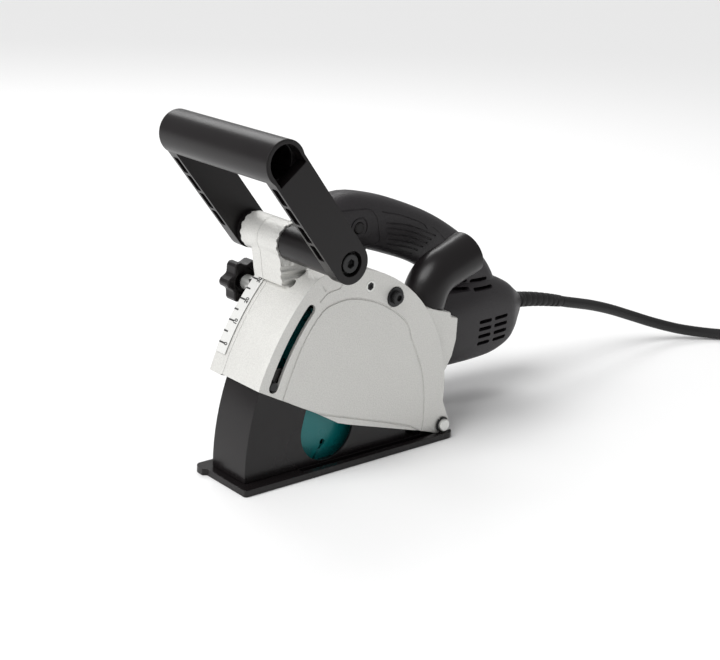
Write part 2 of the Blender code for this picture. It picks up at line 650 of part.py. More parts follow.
def armature():
    """Motor's turning part: shaft, core, commutator, fan and pinion."""
    y, z = MOTOR_Y, SPINDLE[1]
    origin = (0, y, z)
    shaft = turned([(0, 127.6), (3.4, 127.6), (3.4, 112.6), (4.9, 112.6), (4.9, 10), (3.4, 10), (3.4, 0), (0, 0)],
                   (38.3, y, z), (-1, 0, 0), 16)
    keep("armature_shaft", shaft, materials["steel"], origin)

    def ring_x(x0, x1, inner, outer, sides=28):
        length = x1 - x0
        return turned([(inner, length), (outer, length), (outer, 0), (inner, 0)],
                      (x0, y, z), (1, 0, 0), sides)

    core = ring_x(-44, 4, 5.2, 17.3, 26)
    for k in range(8):
        a = math.radians(45 * k)
        c, s = math.cos(a), math.sin(a)
        slot_rod = rod((-50, y + 16 * c, z + 16 * s), (10, y + 16 * c, z + 16 * s), 1.5, 8)
        core = cut(core, slot_rod)
    keep("armature_core", core, materials["black_steel"], origin)
    keep("commutator", ring_x(10, 26, 5.2, 11.0), materials["copper"], origin)
    fan = ring_x(-63, -61, 5.2, 24.3, 26)
    fan = join(fan, ring_x(-61.5, -54, 5.2, 9.0))
    for k in range(7):
        a = math.radians(360 / 7 * k)
        blade = box(-61.5, -54, -0.8, 0.8, 8, 16)
        blade.data.transform(place_axis((0, y, z), (0, 0, 1)) @ Matrix.Rotation(a, 4, "X"))
        fan = join(fan, blade)
    keep("cooling_fan", fan, materials["black_plastic"], origin)
    pinion = bevel_gear(PINION_TEETH, 7.0, CONE_R, 7.4, 0.8)
    pinion.data.transform(place_axis((SPINDLE[0] + 0.4, y, z), (-1, 0, 0)))
    pinion = cut(pinion, rod((-110, y, z), (-60, y, z), 3.6, 16))
    keep("pinion", pinion, materials["steel"], origin)


def gear_housing():
    """Cast housing around the bevel gears, with a pad for the rear handle."""
    cx, cz = SPINDLE
    y0, y1 = CASE_Y[1] + GAP, 82.0
    drum = turned([(0, y1 - y0), (27.5, y1 - y0), (31, y1 - y0 - 4), (31, 8.5), (25.5, 7.5), (25.5, 0),
                   (0, 0)], (cx, y0, cz), (0, 1, 0), 26)
    nose = rod((cx, MOTOR_Y, cz), (MOTOR_X[0] - GAP, MOTOR_Y, cz), MOTOR_R, 26)
    pad = box(-127, -96, MOTOR_Y - 15, MOTOR_Y + 15, cz + 8, cz + 35.6, 2.5)
    room = join(rod_y(SPINDLE, 37.0, y1 - 4, 27.0, 26), rod((cx, MOTOR_Y, cz), (-77, MOTOR_Y, cz), 15, 20),
                rod((-78, MOTOR_Y, cz), (-60, MOTOR_Y, cz), 13.3, 20), rod_y(SPINDLE, 20, 38, 17.4, 24),
                rod_y(SPINDLE, 70, 90, 21, 24), rod_y((cx, cz + 22.2), 70, 90, 5.3, 16))
    housing = cut(join(drum, nose, pad), room)
    keep("gear_housing", housing, materials["cast_silver"])
    cap = turned([(0, 5.6), (17.5, 5.6), (19, 4.4), (20.6, 4.4), (20.6, 0), (11, 0), (11, -7.0),
                  (8.9, -7.0), (8.9, 1.0), (0, 1.0)], (cx, 78.6, cz), (0, 1, 0), 24)
    cap = cut(cap, rod_y((cx, cz + 22.2), 60, 100, 5.3, 16))
    keep("bearing_cap", cap, materials["cast_silver"])
    keep("spindle_bearing", ring_y(SPINDLE, 26.4, 36.6, 9.3, 17.1), materials["steel"])
    keep("needle_bearing", ring_y(SPINDLE, 66.2, 75.0, 6.1, 8.6), materials["steel"])
    front = turned([(5.2, 7.0), (13.0, 7.0), (13.0, 0), (5.2, 0)], (-74.6, MOTOR_Y, cz), (1, 0, 0))
    keep("front_motor_bearing", front, materials["steel"])
    pin = turned([(0, 40.2), (4.2, 40.2), (5.0, 39.4), (5.0, 31), (2.0, 29), (2.0, 0), (0, 0)],
                 (cx, 49.8, cz + 22.2), (0, 1, 0), 16)
    keep("shaft_lock_button", pin, materials["black_plastic"], (cx, 90, cz + 22.2))


def motor():
    """Motor housing with its stator, rear bearing, brushes and brush caps."""
    y, z = MOTOR_Y, SPINDLE[1]
    x0, x1 = MOTOR_X
    length = x1 - x0
    shell = turned([(MOTOR_R - 3, length), (MOTOR_R, length), (MOTOR_R, 0), (MOTOR_R - 3, 0)],
                   (x0, y, z), (1, 0, 0), 26)
    web = turned([(11.4, 8.5), (MOTOR_R - 1, 8.5), (MOTOR_R - 1, 0), (11.4, 0)],
                 (x1 - 10, y, z), (1, 0, 0), 26)
    shell = join(shell, web)
    for side in (-1, 1):
        shell = cut(shell, rod((18, y + side * 20, z), (18, y + side * 40, z), 8.3, 16))
    for dy, dz in ((18, 0), (-18, 0), (0, 18), (0, -18)):
        shell = cut(shell, rod((x1 - 14, y + dy, z + dz), (x1 + 2, y + dy, z + dz), 5.0, 16))
    keep("motor_housing", shell, materials["dark_housing"])
    keep("stator", turned([(18.2, 46), (24.9, 46), (24.9, 0), (18.2, 0)], (-43, y, z), (1, 0, 0), 26),
         materials["black_steel"])
    keep("rear_motor_bearing", turned([(3.7, 7), (11.1, 7), (11.1, 0), (3.7, 0)], (31, y, z), (1, 0, 0)),
         materials["steel"])
    for name, side in (("near", -1), ("far", 1)):
        cap = rod((18, y + side * 22.8, z), (18, y + side * 29.2, z), 8.0, 16)
        cap = cut(cap, box(9, 27, *sorted((y + side * 28.2, y + side * 31)), z - 0.9, z + 0.9))
        keep(f"brush_cap_{name}", cap, materials["black_plastic"])
        brush = box(14.8, 21.2, *sorted((y + side * 11.4, y + side * 22.5)), z - 3.2, z + 3.2)
        keep(f"brush_{name}", brush, materials["black_steel"])


# ---------------------------------------------------------------- rear handle

# centre X, centre Z and half height of the grip along its path
GRIP_PATH = [(-111.5, 100, 15.2), (-106, 116, 15.5), (-97, 136, 16.5), (-81, 156, 19), (-58, 167, 21.5),
             (-30, 163.5, 22), (0, 154.5, 22), (32, 142, 21.5), (62, 125, 21), (88, 104, 20.5),
             (104, 84, 18)]
# X, bottom Z, top Z and half width of the rear housing
TAIL = [(40.3, 30, 98, 31.8), (62, 29.5, 101, 31.7), (88, 29.5, 105, 30.6), (110, 31, 102, 28.6),
        (128, 36.5, 95, 25.5), (139, 43, 88, 20), (147, 50, 83, 14.5), (152, 57, 79.5, 11.5)]


def section(centre, normal_angle, half_height, half_width, power=2.6, count=16):
    """Superellipse ring across a path in X and Z, whose up direction has the given angle."""
    cx, cz = centre
    ux, uz = math.cos(normal_angle), math.sin(normal_angle)
    ring = []
    for k in range(count):
        t = 2 * math.pi * (k + 0.5) / count
        c, s = math.cos(t), math.sin(t)
        w = half_width * math.copysign(abs(c) ** (2 / power), c)
        h = half_height * math.copysign(abs(s) ** (2 / power), s)
        ring.append((cx + ux * h, MOTOR_Y + w, cz + uz * h))
    return ring


def grip_solid(inset, extra=0.0):
    """The looped grip as a solid, smaller by an inset."""
    rings = []
    for i, (x, z, half) in enumerate(GRIP_PATH):
        a = GRIP_PATH[max(i - 1, 0)]
        b = GRIP_PATH[min(i + 1, len(GRIP_PATH) - 1)]
        direction = math.atan2(b[1] - a[1], b[0] - a[0]) if i else math.pi / 2
        width = 18.5 if x < 60 else 20.0
        if i == 0:
            z -= extra
        rings.append(section((x, z), direction + math.pi / 2, half - inset, width - inset))
    return loft(rings)


def tail_solid(inset, extra=0.0):
    """The rear housing as a solid, smaller by an inset."""
    rings = []
    last = len(TAIL) - 1
    for i, (x, low, high, half) in enumerate(TAIL):
        shift = -extra if i == 0 else (-inset if i == last else 0.0)
        rings.append(section((x + shift, (low + high) / 2), math.pi / 2, (high - low) / 2 - inset,
                             half - inset, 3.2))
    return loft(rings)


# X limits and Z of the vents
VENTS = [(88, 105, 62), (109, 128, 62), (88, 105, 54), (109, 128, 54), (88, 105, 46), (109, 128, 46),
         (62, 88, 86)]
SHELL_SCREWS = [(-96, 134), (34, 142), (75, 45)]
SCREW_FACES = [MOTOR_Y + 13.2, MOTOR_Y + 13.2, MOTOR_Y + 23.5]


def rear_handle():
    """Two hollow handle shells, joined on the motor's middle plane."""
    outer = join(tail_solid(0), grip_solid(0))
    inner = join(tail_solid(3, 5), grip_solid(3, 4))
    for name, side in (("near", -1), ("far", 1)):
        graph = bpy.context.evaluated_depsgraph_get()
        copies = []
        for source in (outer, inner):
            mesh = bpy.data.meshes.new_from_object(source.evaluated_get(graph))
            copy = bpy.data.objects.new("copy", mesh)
            parts.objects.link(copy)
            copies.append(copy)
        edge = MOTOR_Y + side * GAP / 2
        away = MOTOR_Y - side * 80
        shell = cut(copies[0], box(-160, 200, *sorted((edge, away)), 0, 220))
        posts = [rod_y(c, *sorted((MOTOR_Y, MOTOR_Y + side * 34)), 4.4, 14) for c in SHELL_SCREWS]
        hollow = cut(copies[1], *posts)
        shell = cut(shell, hollow)
        shell = cut(shell, box(-86, -24, MOTOR_Y - 7.6, MOTOR_Y + 7.6, 120, 153),
                    rod((145, MOTOR_Y, 70.3), (165, MOTOR_Y, 68.6), 8.0, 16))
        for centre in SHELL_SCREWS:
            shell = cut(shell, rod_y(centre, MOTOR_Y - 9, MOTOR_Y + 40, 1.95, 12))
        if side > 0:
            for centre, face in zip(SHELL_SCREWS, SCREW_FACES):
                shell = cut(shell, rod_y(centre, face, MOTOR_Y + 50, 3.6, 16))
        else:
            shell = cut(shell, rod_y((-49, 163), 20, 46, 4.9, 16))
        for x0, x1, z in VENTS:
            shell = cut(shell, box(x0, x1, *sorted((MOTOR_Y + side * 15, MOTOR_Y + side * 50)),
                                   z - 1.6, z + 1.6))
        keep(f"handle_shell_{name}", shell, materials["dark_housing"])
    bpy.data.objects.remove(outer, do_unlink=True)
    bpy.data.objects.remove(inner, do_unlink=True)


def handle_fittings():
    """Shell screws, switch, trigger, lock-off button and the cord's guard."""
    for i, (centre, face) in enumerate(zip(SHELL_SCREWS, SCREW_FACES), 1):
        screw = turned([(0, 2.4), (2.2, 2.4), (3.2, 1.4), (3.2, 0), (1.7, 0), (1.7, -18), (0, -18)],
                       (centre[0], face + GAP, centre[1]), (0, 1, 0), 14)
        keep(f"handle_screw_{i}", screw, materials["black_steel"])
    keep("switch", box(-66, -34, MOTOR_Y - 10.5, MOTOR_Y + 10.5, 158, 176, 1.0), materials["black_plastic"])
    lever = prism([(-82, 150), (-76, 154), (-50, 153), (-31, 149), (-27.5, 145), (-30, 137.5),
                   (-36, 132.5), (-44, 131), (-56, 133), (-68, 138), (-78, 143)],
                  MOTOR_Y - 6.8, MOTOR_Y + 6.8, 1.6)
    lever = cut(lever, rod_y((-77, 151), MOTOR_Y - 12, MOTOR_Y + 12, 1.5, 10))
    keep("trigger", lever, materials["black_plastic"], (-77, MOTOR_Y, 151))
    button = turned([(0, 5.9), (3.6, 5.9), (4.5, 5.2), (4.5, 1.4), (2.5, 1.4), (2.5, 0), (0, 0)],
                    (-49, 38.0, 163), (0, -1, 0), 16)
    keep("lock_off_button", button, materials["black_plastic"], (-49, 38, 163))
    rings = []
    for x, radius in ((151.5, 7.6), (162, 7.6), (164, 7.4), (177, 6.9), (192, 6.5), (206, 6.1),
                      (216, 5.9), (218, 5.4)):
        rings.append((x, radius))
    guard = cord_guard(rings)
    keep("cord_guard", guard, materials["rubber"])


GUARD_SPINE = [(151.5, 69.8), (162, 68.9), (177, 67.0), (192, 64.4), (207, 61.3), (218, 58.8)]


def spine_point(x):
    """Height and slope of the cord guard's centre line at an X."""
    for (x0, z0), (x1, z1) in zip(GUARD_SPINE, GUARD_SPINE[1:]):
        if x <= x1:
            return z0 + (z1 - z0) * (x - x0) / (x1 - x0), math.atan2(z1 - z0, x1 - x0)
    return GUARD_SPINE[-1][1], math.atan2(-2.7, 11)


def cord_guard(rings):
    """Tapered bend relief that droops a little."""
    loops = []
    for x, radius in rings:
        z, slope = spine_point(x)
        loops.append([(x - radius * math.sin(slope) * math.sin(t), MOTOR_Y + radius * math.cos(t),
                       z + radius * math.cos(slope) * math.sin(t))
                      for t in (2 * math.pi * k / 20 for k in range(20))])
    return loft(loops)


# ---------------------------------------------------------------- front handle and depth stop

def stadium(p, q, radius, count=9):
    """Outline of a bar with round ends between two X and Z points."""
    a = math.degrees(math.atan2(q[1] - p[1], q[0] - p[0]))
    return arc(*q, radius, a - 90, a + 90, count) + arc(*p, radius, a + 90, a + 270, count)


def front_handle():
    """Stirrup handle: hollow grip tube, two flat arms and the bosses that clamp on the hub."""
    near, far = ARM_Y
    handle = join(prism(stadium(HUB, GRIP, ARM_R), *near, 1.0), prism(stadium(HUB, GRIP, ARM_R), *far, 1.0),
                  rod_y(GRIP, near[0] + 2, far[1] - 2, GRIP_R, 26), rod_y(HUB, near[1] - 3, -3.3, 13.0, 20),
                  rod_y(HUB, 40.3, far[0] + 3, 13.0, 20))
    handle = cut(handle, rod_y(GRIP, -100, 100, 11.6, 20), rod_y(HUB, -100, 100, 4.3, 16),
                 rod_y(HUB, -100, near[0] + 5, 9.0, 16), rod_y(HUB, far[1] - 5, 100, 9.0, 16))
    keep("front_handle", handle, materials["black_plastic"], (HUB[0], 0, HUB[1]))
    bolt = socket_bolt(HUB, near[0] + 4.7, 6.8, 4.2, 4.0, 76, 3.4)
    keep("handle_bolt_near", bolt, materials["black_steel"])
    bolt = socket_bolt(HUB, far[1] - 4.7, 6.8, 4.2, 4.0, 34, 3.4, -1)
    keep("handle_bolt_far", bolt, materials["black_steel"])


def depth_stop():
    """Stop block on a stud, its pointer, and the six-lobed clamp knob."""
    cx, cz = on_arc(STOP_R, STOP_ELEVATION)
    half = 1.1
    block = prism(sector(179.5, 190.6, STOP_ELEVATION - half, STOP_ELEVATION + half, 3), 24.0, 31.5)
    stud = rod_y((cx, cz), 31.0, 59.0, 2.9, 16)
    collar = rod_y((cx, cz), 37.8, 50.0, 5.8, 16)
    keep("stop_stud", join(block, stud, collar), materials["zinc"], (0, 0, PIVOT_Z))
    tip = on_arc(195.4, STOP_ELEVATION)
    a = math.degrees(math.atan2(tip[1] - cz, tip[0] - cx))
    pointer = prism(arc(cx, cz, 6.4, a + 35, a + 325, 16) + [tip], 35.4, 37.4)
    pointer = cut(pointer, rod_y((cx, cz), 30, 40, 3.2, 16))
    keep("stop_pointer", pointer, materials["black_plastic"], (0, 0, PIVOT_Z))
    outline = []
    for k in range(36):
        t = 2 * math.pi * k / 36
        radius = KNOB_R - 2.4 + 2.4 * math.cos(6 * t)
        outline.append((cx + radius * math.cos(t), cz + radius * math.sin(t)))
    knob = prism(outline, *KNOB_Y, 1.2)
    recess = cut(rod_y((cx, cz), KNOB_Y[0] - 1, KNOB_Y[0] + 4, 10.5, 18),
                 rod_y((cx, cz), KNOB_Y[0] - 2, KNOB_Y[0] + 6, 6.0, 18))
    knob = cut(knob, recess, rod_y((cx, cz), 40, 59.6, 3.2, 16))
    keep("depth_knob", knob, materials["black_plastic"], (cx, KNOB_Y[0], cz))


# ---------------------------------------------------------------- cord

def smooth(points, spacing):
    """A smooth curve through route points, read at an even spacing."""
    pts = [Vector(p) for p in points]
    pts = [pts[0] * 2 - pts[1]] + pts + [pts[-1] * 2 - pts[-2]]
    fine = []
    for i in range(1, len(pts) - 2):
        p0, p1, p2, p3 = pts[i - 1:i + 3]
        for k in range(20):
            t = k / 20
            fine.append(0.5 * ((2 * p1) + (p2 - p0) * t + (2 * p0 - 5 * p1 + 4 * p2 - p3) * t * t
                               + (3 * p1 - p0 - 3 * p2 + p3) * t * t * t))
    fine.append(pts[-2])
    total = sum((b - a).length for a, b in zip(fine, fine[1:]))
    count = max(2, round(total / spacing))
    step, want, run, out = total / count, total / count, 0.0, [fine[0]]
    for a, b in zip(fine, fine[1:]):
        length = (b - a).length
        while run + length >= want - 1e-9 and len(out) < count:
            out.append(a.lerp(b, (want - run) / length))
            want += step
        run += length
    return out + [fine[-1]]


def cord_set():
    """Mains cord: the free run, the coil of the rest, and its plug."""
    start = (218.4, MOTOR_Y, 58.7)
    route = smooth([start] + CORD_POINTS, 2.4 * 2 * CORD_R)
    keep("cord", wire(route, CORD_R, 2), materials["rubber"])
    inner, outer = COIL_R
    coil = turned([(inner, COIL_TOP - 3), (inner + 3, COIL_TOP), (outer - 3, COIL_TOP), (outer, COIL_TOP - 3),
                   (outer, 3), (outer - 3, 0), (inner + 3, 0), (inner, 3)], (*COIL, 0), (0, 0, 1), 32)
    keep("cord_coil", coil, materials["rubber"])
    px, py, pz = PLUG
    body = loft([[(px + w * math.cos(t), py + y, pz + h * math.sin(t))
                  for t in (2 * math.pi * k / 16 for k in range(16))]
                 for y, w, h in ((0, 5, 5), (12, 7, 6.5), (18, 12.5, 8.5), (32, 17.5, 9.2), (40, 18, 9.3),
                                 (41, 17, 9))])
    pins = [rod((px + s, py + 40, pz), (px + s, py + 60, pz), 2.4, 12) for s in (-9.5, 9.5)]
    keep("plug", join(body, *pins), materials["rubber"])


def main():
    """Build every piece of the wall chaser."""
    clear_scene()
    finishes()
    base_plate()
    inner_guard()
    guide_pins()
    pivot()
    wheel_cover()
    blade_case()
    outlet_nozzle()
    spindle_set()
    armature()
    gear_housing()
    motor()
    rear_handle()
    handle_fittings()
    front_handle()
    depth_stop()
    cord_set()


main()
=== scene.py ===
"""Looks of the wall chaser: camera, light, cord, detailed shells and procedural materials.

Sizes and places are in millimetres and angles in degrees, in the CAD's frame: the origin lies under
the pivot, -X is the cutting direction, +Y the motor's side and +Z up. Outlines are in X and Z."""
import json
import math

import bmesh
import bpy
from mathutils import Matrix, Vector


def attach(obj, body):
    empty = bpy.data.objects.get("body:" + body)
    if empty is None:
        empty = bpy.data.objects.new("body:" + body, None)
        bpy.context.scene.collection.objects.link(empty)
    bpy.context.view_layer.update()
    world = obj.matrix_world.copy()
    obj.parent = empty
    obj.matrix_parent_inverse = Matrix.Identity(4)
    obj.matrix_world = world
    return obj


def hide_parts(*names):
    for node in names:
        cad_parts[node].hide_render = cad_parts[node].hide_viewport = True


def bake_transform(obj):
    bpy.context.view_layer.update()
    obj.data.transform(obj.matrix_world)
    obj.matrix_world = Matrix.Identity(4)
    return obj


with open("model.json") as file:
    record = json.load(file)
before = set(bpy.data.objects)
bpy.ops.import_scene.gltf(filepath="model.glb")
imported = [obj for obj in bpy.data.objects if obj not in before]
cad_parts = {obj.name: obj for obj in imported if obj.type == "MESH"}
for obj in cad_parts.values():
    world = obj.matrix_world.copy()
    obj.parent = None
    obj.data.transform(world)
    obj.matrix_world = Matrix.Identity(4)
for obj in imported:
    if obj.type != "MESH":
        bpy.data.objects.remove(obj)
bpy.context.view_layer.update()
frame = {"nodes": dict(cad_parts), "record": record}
MM = 0.001

# camera at the photograph's angle
CAMERA = (-741.5, -745.3, 420.0)
AZIMUTH, ELEVATION, ROLL = -41.95, 18.0, 3.48
LENS = 69.98

# cord: its free run as in part.py, then its coil and plug
CORD_R = 5.0
CORD_SIDES = 14
CORD_EXIT = (218.4, 51.5, 58.7)
CORD_POINTS = [(230, 51.5, 55.8), (248, 51.5, 51.6), (268, 51.3, 46.6), (294, 50.2, 38.8),
               (322, 47, 29), (350, 40.5, 19.2), (378, 30.5, 11), (402, 18, 6.6),
               (421, 3, 5.2), (435, -15, 5.1), (443.5, -35, 5.1), (446.7, -56, 5.1)]
COIL = (522.4, -69.0)                      # centre of the coil on the floor
COIL_TURNS, STEPS_PER_TURN = 7.5, 40
COIL_WIDE, COIL_NARROW = 65.0, 44.7        # largest and smallest radius of a turn's centre line
COIL_PITCH = 10.15                         # from one turn to the next one beside it
COIL_FLOOR, COIL_LAYER = 5.1, 10.1         # height of the lowest turns and step to the next layer
PLUG = (577.4, -42.0, 39.9)                # where the cord enters the plug, which points to +Y

PIVOT_Z = 10.5                             # height of the axis that the head turns about

# ---------------------------------------------------------------- stage

def add_camera():
    """Camera at the photograph's place, with its small roll."""
    a, e, r = (math.radians(v) for v in (AZIMUTH, ELEVATION, ROLL))
    ahead = Vector((-math.sin(a) * math.cos(e), math.cos(a) * math.cos(e), -math.sin(e)))
    right = Vector((math.cos(a), math.sin(a), 0))
    up = right.cross(ahead)
    side = right * math.cos(r) + up * math.sin(r)
    top = up * math.cos(r) - right * math.sin(r)
    data = bpy.data.cameras.new("camera")
    data.lens = LENS
    data.sensor_width = 36.0
    data.clip_start, data.clip_end = 0.01, 50
    cam = bpy.data.objects.new("camera", data)
    cam.matrix_world = (Matrix.Translation(Vector(CAMERA) * MM)
                        @ Matrix((side, top, -ahead)).transposed().to_4x4())
    bpy.context.scene.collection.objects.link(cam)
    bpy.context.scene.camera = cam


def area_light(name, place, target, size, power):
    """One soft box."""
    data = bpy.data.lights.new(name, "AREA")
    data.shape = "RECTANGLE"
    data.size, data.size_y = size
    data.energy = power
    light = bpy.data.objects.new(name, data)
    light.location = place
    light.rotation_mode = "QUATERNION"
    light.rotation_quaternion = (Vector(target) - Vector(place)).to_track_quat("-Z", "Y")
    bpy.context.scene.collection.objects.link(light)


def add_stage():
    """Pale floor, a soft sun from the left and two soft boxes."""
    world = bpy.data.worlds.new("studio")
    world.use_nodes = True
    background = world.node_tree.nodes["Background"]
    background.inputs["Color"].default_value = (1.0, 1.0, 1.0, 1)
    background.inputs["Strength"].default_value = 0.42
    bpy.context.scene.world = world
    bpy.context.scene.view_settings.view_transform = "Standard"
    bm = bmesh.new()
    bmesh.ops.create_grid(bm, x_segments=1, y_segments=1, size=8)
    mesh = bpy.data.meshes.new("floor")
    bm.to_mesh(mesh)
    bm.free()
    floor = bpy.data.objects.new("floor", mesh)
    floor.location.z = -0.0003
    bpy.context.scene.collection.objects.link(floor)
    mat = bpy.data.materials.new("floor")
    mat.use_nodes = True
    shader = mat.node_tree.nodes["Principled BSDF"]
    shader.inputs["Base Color"].default_value = (0.93, 0.93, 0.93, 1)
    shader.inputs["Roughness"].default_value = 0.6
    floor.data.materials.append(mat)
    sun = bpy.data.lights.new("sun", "SUN")
    sun.energy = 2.1
    sun.angle = math.radians(40)
    lamp = bpy.data.objects.new("sun", sun)
    lamp.rotation_mode = "QUATERNION"
    lamp.rotation_quaternion = Vector((0.85, 0.02, -1.0)).to_track_quat("-Z", "Y")
    bpy.context.scene.collection.objects.link(lamp)
    middle = (-0.05, 0.0, 0.1)
    area_light("key", (-1.7, 0.15, 0.9), middle, (0.5, 1.2), 11)
    area_light("rim", (0.5, 1.3, 1.3), middle, (1.2, 0.5), 8)


# ---------------------------------------------------------------- mesh helpers, in millimetres

def link(obj):
    """Put an object into the scene."""
    bpy.context.scene.collection.objects.link(obj)
    return obj


def mesh_object(bm, name="work"):
    """A bmesh in millimetres becomes an object in metres."""
    bmesh.ops.scale(bm, vec=(MM, MM, MM), verts=bm.verts)
    bmesh.ops.recalc_face_normals(bm, faces=bm.faces)
    mesh = bpy.data.meshes.new(name)
    bm.to_mesh(mesh)
    bm.free()
    return link(bpy.data.objects.new(name, mesh))


def bake(obj):
    """Replace an object by its evaluated mesh."""
    graph = bpy.context.evaluated_depsgraph_get()
    mesh = bpy.data.meshes.new_from_object(obj.evaluated_get(graph))
    mesh.transform(obj.matrix_world)
    new = link(bpy.data.objects.new(obj.name, mesh))
    bpy.data.objects.remove(obj, do_unlink=True)
    bm = bmesh.new()
    bm.from_mesh(mesh)
    bmesh.ops.remove_doubles(bm, verts=bm.verts, dist=1e-6)
    bmesh.ops.recalc_face_normals(bm, faces=bm.faces)
    bm.to_mesh(mesh)
    bm.free()
    return new


def prism(outline, y0, y1, bevel=0.0):
    """A flat outline in X and Z, extruded along Y, with its edges optionally rounded."""
    curve = bpy.data.curves.new("outline", "CURVE")
    curve.dimensions = "2D"
    curve.fill_mode = "BOTH"
    curve.extrude = (y1 - y0) / 2 * MM
    spline = curve.splines.new("POLY")
    spline.points.add(len(outline) - 1)
    for point, (x, z) in zip(spline.points, outline):
        point.co = (x * MM, z * MM, 0, 1)
    spline.use_cyclic_u = True
    obj = link(bpy.data.objects.new("prism", curve))
    obj.matrix_world = (Matrix.Translation((0, (y0 + y1) / 2 * MM, 0))
                        @ Matrix.Rotation(math.pi / 2, 4, "X"))
    bpy.context.view_layer.update()
    return round_edges(bake(obj), bevel)


def round_edges(obj, width, segments=2, angle=35):
    """Bevel the sharp edges of a baked object."""
    if width <= 0:
        return obj
    modifier = obj.modifiers.new("bevel", "BEVEL")
    modifier.width = width * MM
    modifier.segments = segments
    modifier.limit_method = "ANGLE"
    modifier.angle_limit = math.radians(angle)
    return bake(obj)


def rod(start, end, radius, sides=48):
    """A cylinder between two points."""
    a, b = Vector(start), Vector(end)
    bm = bmesh.new()
    bmesh.ops.create_cone(bm, cap_ends=True, segments=sides, radius1=radius, radius2=radius,
                          depth=(b - a).length)
    turn = Vector((0, 0, 1)).rotation_difference(b - a).to_matrix().to_4x4()
    bm.transform(Matrix.Translation((a + b) / 2) @ turn)
    return mesh_object(bm)


def rod_y(centre, y0, y1, radius, sides=48):
    """A cylinder along Y at an X and Z."""
    return rod((centre[0], y0, centre[1]), (centre[0], y1, centre[1]), radius, sides)


def boolean(obj, other, operation):
    """Apply a Boolean and remove its second object."""
    modifier = obj.modifiers.new("boolean", "BOOLEAN")
    modifier.object = other
    modifier.operation = operation
    modifier.solver = "EXACT"
    bpy.context.view_layer.update()
    new = bake(obj)
    bpy.data.objects.remove(other, do_unlink=True)
    return new


def cut(obj, *cutters):
    """Subtract cutters one after another."""
    for cutter in cutters:
        obj = boolean(obj, cutter, "DIFFERENCE")
    return obj


def join(obj, *others):
    """Unite with other solids."""
    for other in others:
        obj = boolean(obj, other, "UNION")
    return obj


def loft(rings, closed=True):
    """A closed solid through rings of points, which all have the same count."""
    bm = bmesh.new()
    loops = [[bm.verts.new(p) for p in ring] for ring in rings]
    count = len(loops[0])
    for low, high in zip(loops, loops[1:]):
        for i in range(count):
            j = (i + 1) % count
            bm.faces.new((low[i], low[j], high[j], high[i]))
    if closed:
        bm.faces.new(loops[0][::-1])
        bm.faces.new(loops[-1])
    return mesh_object(bm)


def finish_piece(obj, name, body, material, replaces=(), angle=30):
    """Name a new piece, shade it, give it its material and let it ride on its body."""
    obj.name = obj.data.name = name
    obj.data.materials.clear()
    obj.data.materials.append(material)
    obj.data.shade_smooth()
    obj.data.set_sharp_from_angle(angle=math.radians(angle))
    even = obj.modifiers.new("even", "WEIGHTED_NORMAL")
    even.keep_sharp = True
    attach(obj, body)
    if replaces:
        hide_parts(*replaces)
    return obj


# ---------------------------------------------------------------- materials

def nodes_of(name):
    """A new node material with its tree and Principled shader."""
    mat = bpy.data.materials.new(name)
    mat.use_nodes = True
    return mat, mat.node_tree, mat.node_tree.nodes["Principled BSDF"]


def surface(name, colour, roughness, metallic=0.0, grain=1.0, bump=0.15, depth=0.0002, spread=0.08,
            vary=0.1, blotch=18.0, specular=0.5, speck=0.0):
    """Coloured surface with fine grain, slow colour change and uneven gloss.

    grain is the grain's size in millimetres. vary and speck are the shares by which the colour
    changes slowly and from grain to grain."""
    mat, tree, shader = nodes_of(name)
    place = tree.nodes.new("ShaderNodeTexCoord")
    fine = tree.nodes.new("ShaderNodeTexNoise")
    fine.inputs["Scale"].default_value = 1000.0 / grain
    fine.inputs["Detail"].default_value = 4.0
    slow = tree.nodes.new("ShaderNodeTexNoise")
    slow.inputs["Scale"].default_value = blotch
    slow.inputs["Detail"].default_value = 3.0
    for noise in (fine, slow):
        tree.links.new(place.outputs["Object"], noise.inputs["Vector"])
    tone = tree.nodes.new("ShaderNodeMix")
    tone.data_type = "RGBA"
    tone.inputs["A"].default_value = (*[c * (1 - vary) for c in colour], 1)
    tone.inputs["B"].default_value = (*[min(1.0, c * (1 + vary)) for c in colour], 1)
    tree.links.new(slow.outputs["Fac"], tone.inputs["Factor"])
    dust = tree.nodes.new("ShaderNodeMix")
    dust.data_type = "RGBA"
    dust.blend_type = "MULTIPLY"
    dust.inputs["Factor"].default_value = 1.0
    grains = tree.nodes.new("ShaderNodeMapRange")
    grains.inputs["From Min"].default_value = 0.3
    grains.inputs["From Max"].default_value = 0.7
    grains.inputs["To Min"].default_value = 1.0 - speck
    grains.inputs["To Max"].default_value = 1.0 + speck
    tree.links.new(fine.outputs["Fac"], grains.inputs["Value"])
    tree.links.new(tone.outputs["Result"], dust.inputs["A"])
    tree.links.new(grains.outputs["Result"], dust.inputs["B"])
    tree.links.new(dust.outputs["Result"], shader.inputs["Base Color"])
    gloss = tree.nodes.new("ShaderNodeMapRange")
    gloss.inputs["To Min"].default_value = max(0.02, roughness - spread)
    gloss.inputs["To Max"].default_value = min(1.0, roughness + spread)
    tree.links.new(slow.outputs["Fac"], gloss.inputs["Value"])
    tree.links.new(gloss.outputs["Result"], shader.inputs["Roughness"])
    shader.inputs["Metallic"].default_value = metallic
    shader.inputs["Specular IOR Level"].default_value = specular
    relief = tree.nodes.new("ShaderNodeBump")
    relief.inputs["Strength"].default_value = bump
    relief.inputs["Distance"].default_value = depth
    tree.links.new(fine.outputs["Fac"], relief.inputs["Height"])
    soft = tree.nodes.new("ShaderNodeBevel")
    soft.samples = 4
    soft.inputs["Radius"].default_value = 0.0005
    tree.links.new(soft.outputs["Normal"], relief.inputs["Normal"])
    tree.links.new(relief.outputs["Normal"], shader.inputs["Normal"])
    return mat


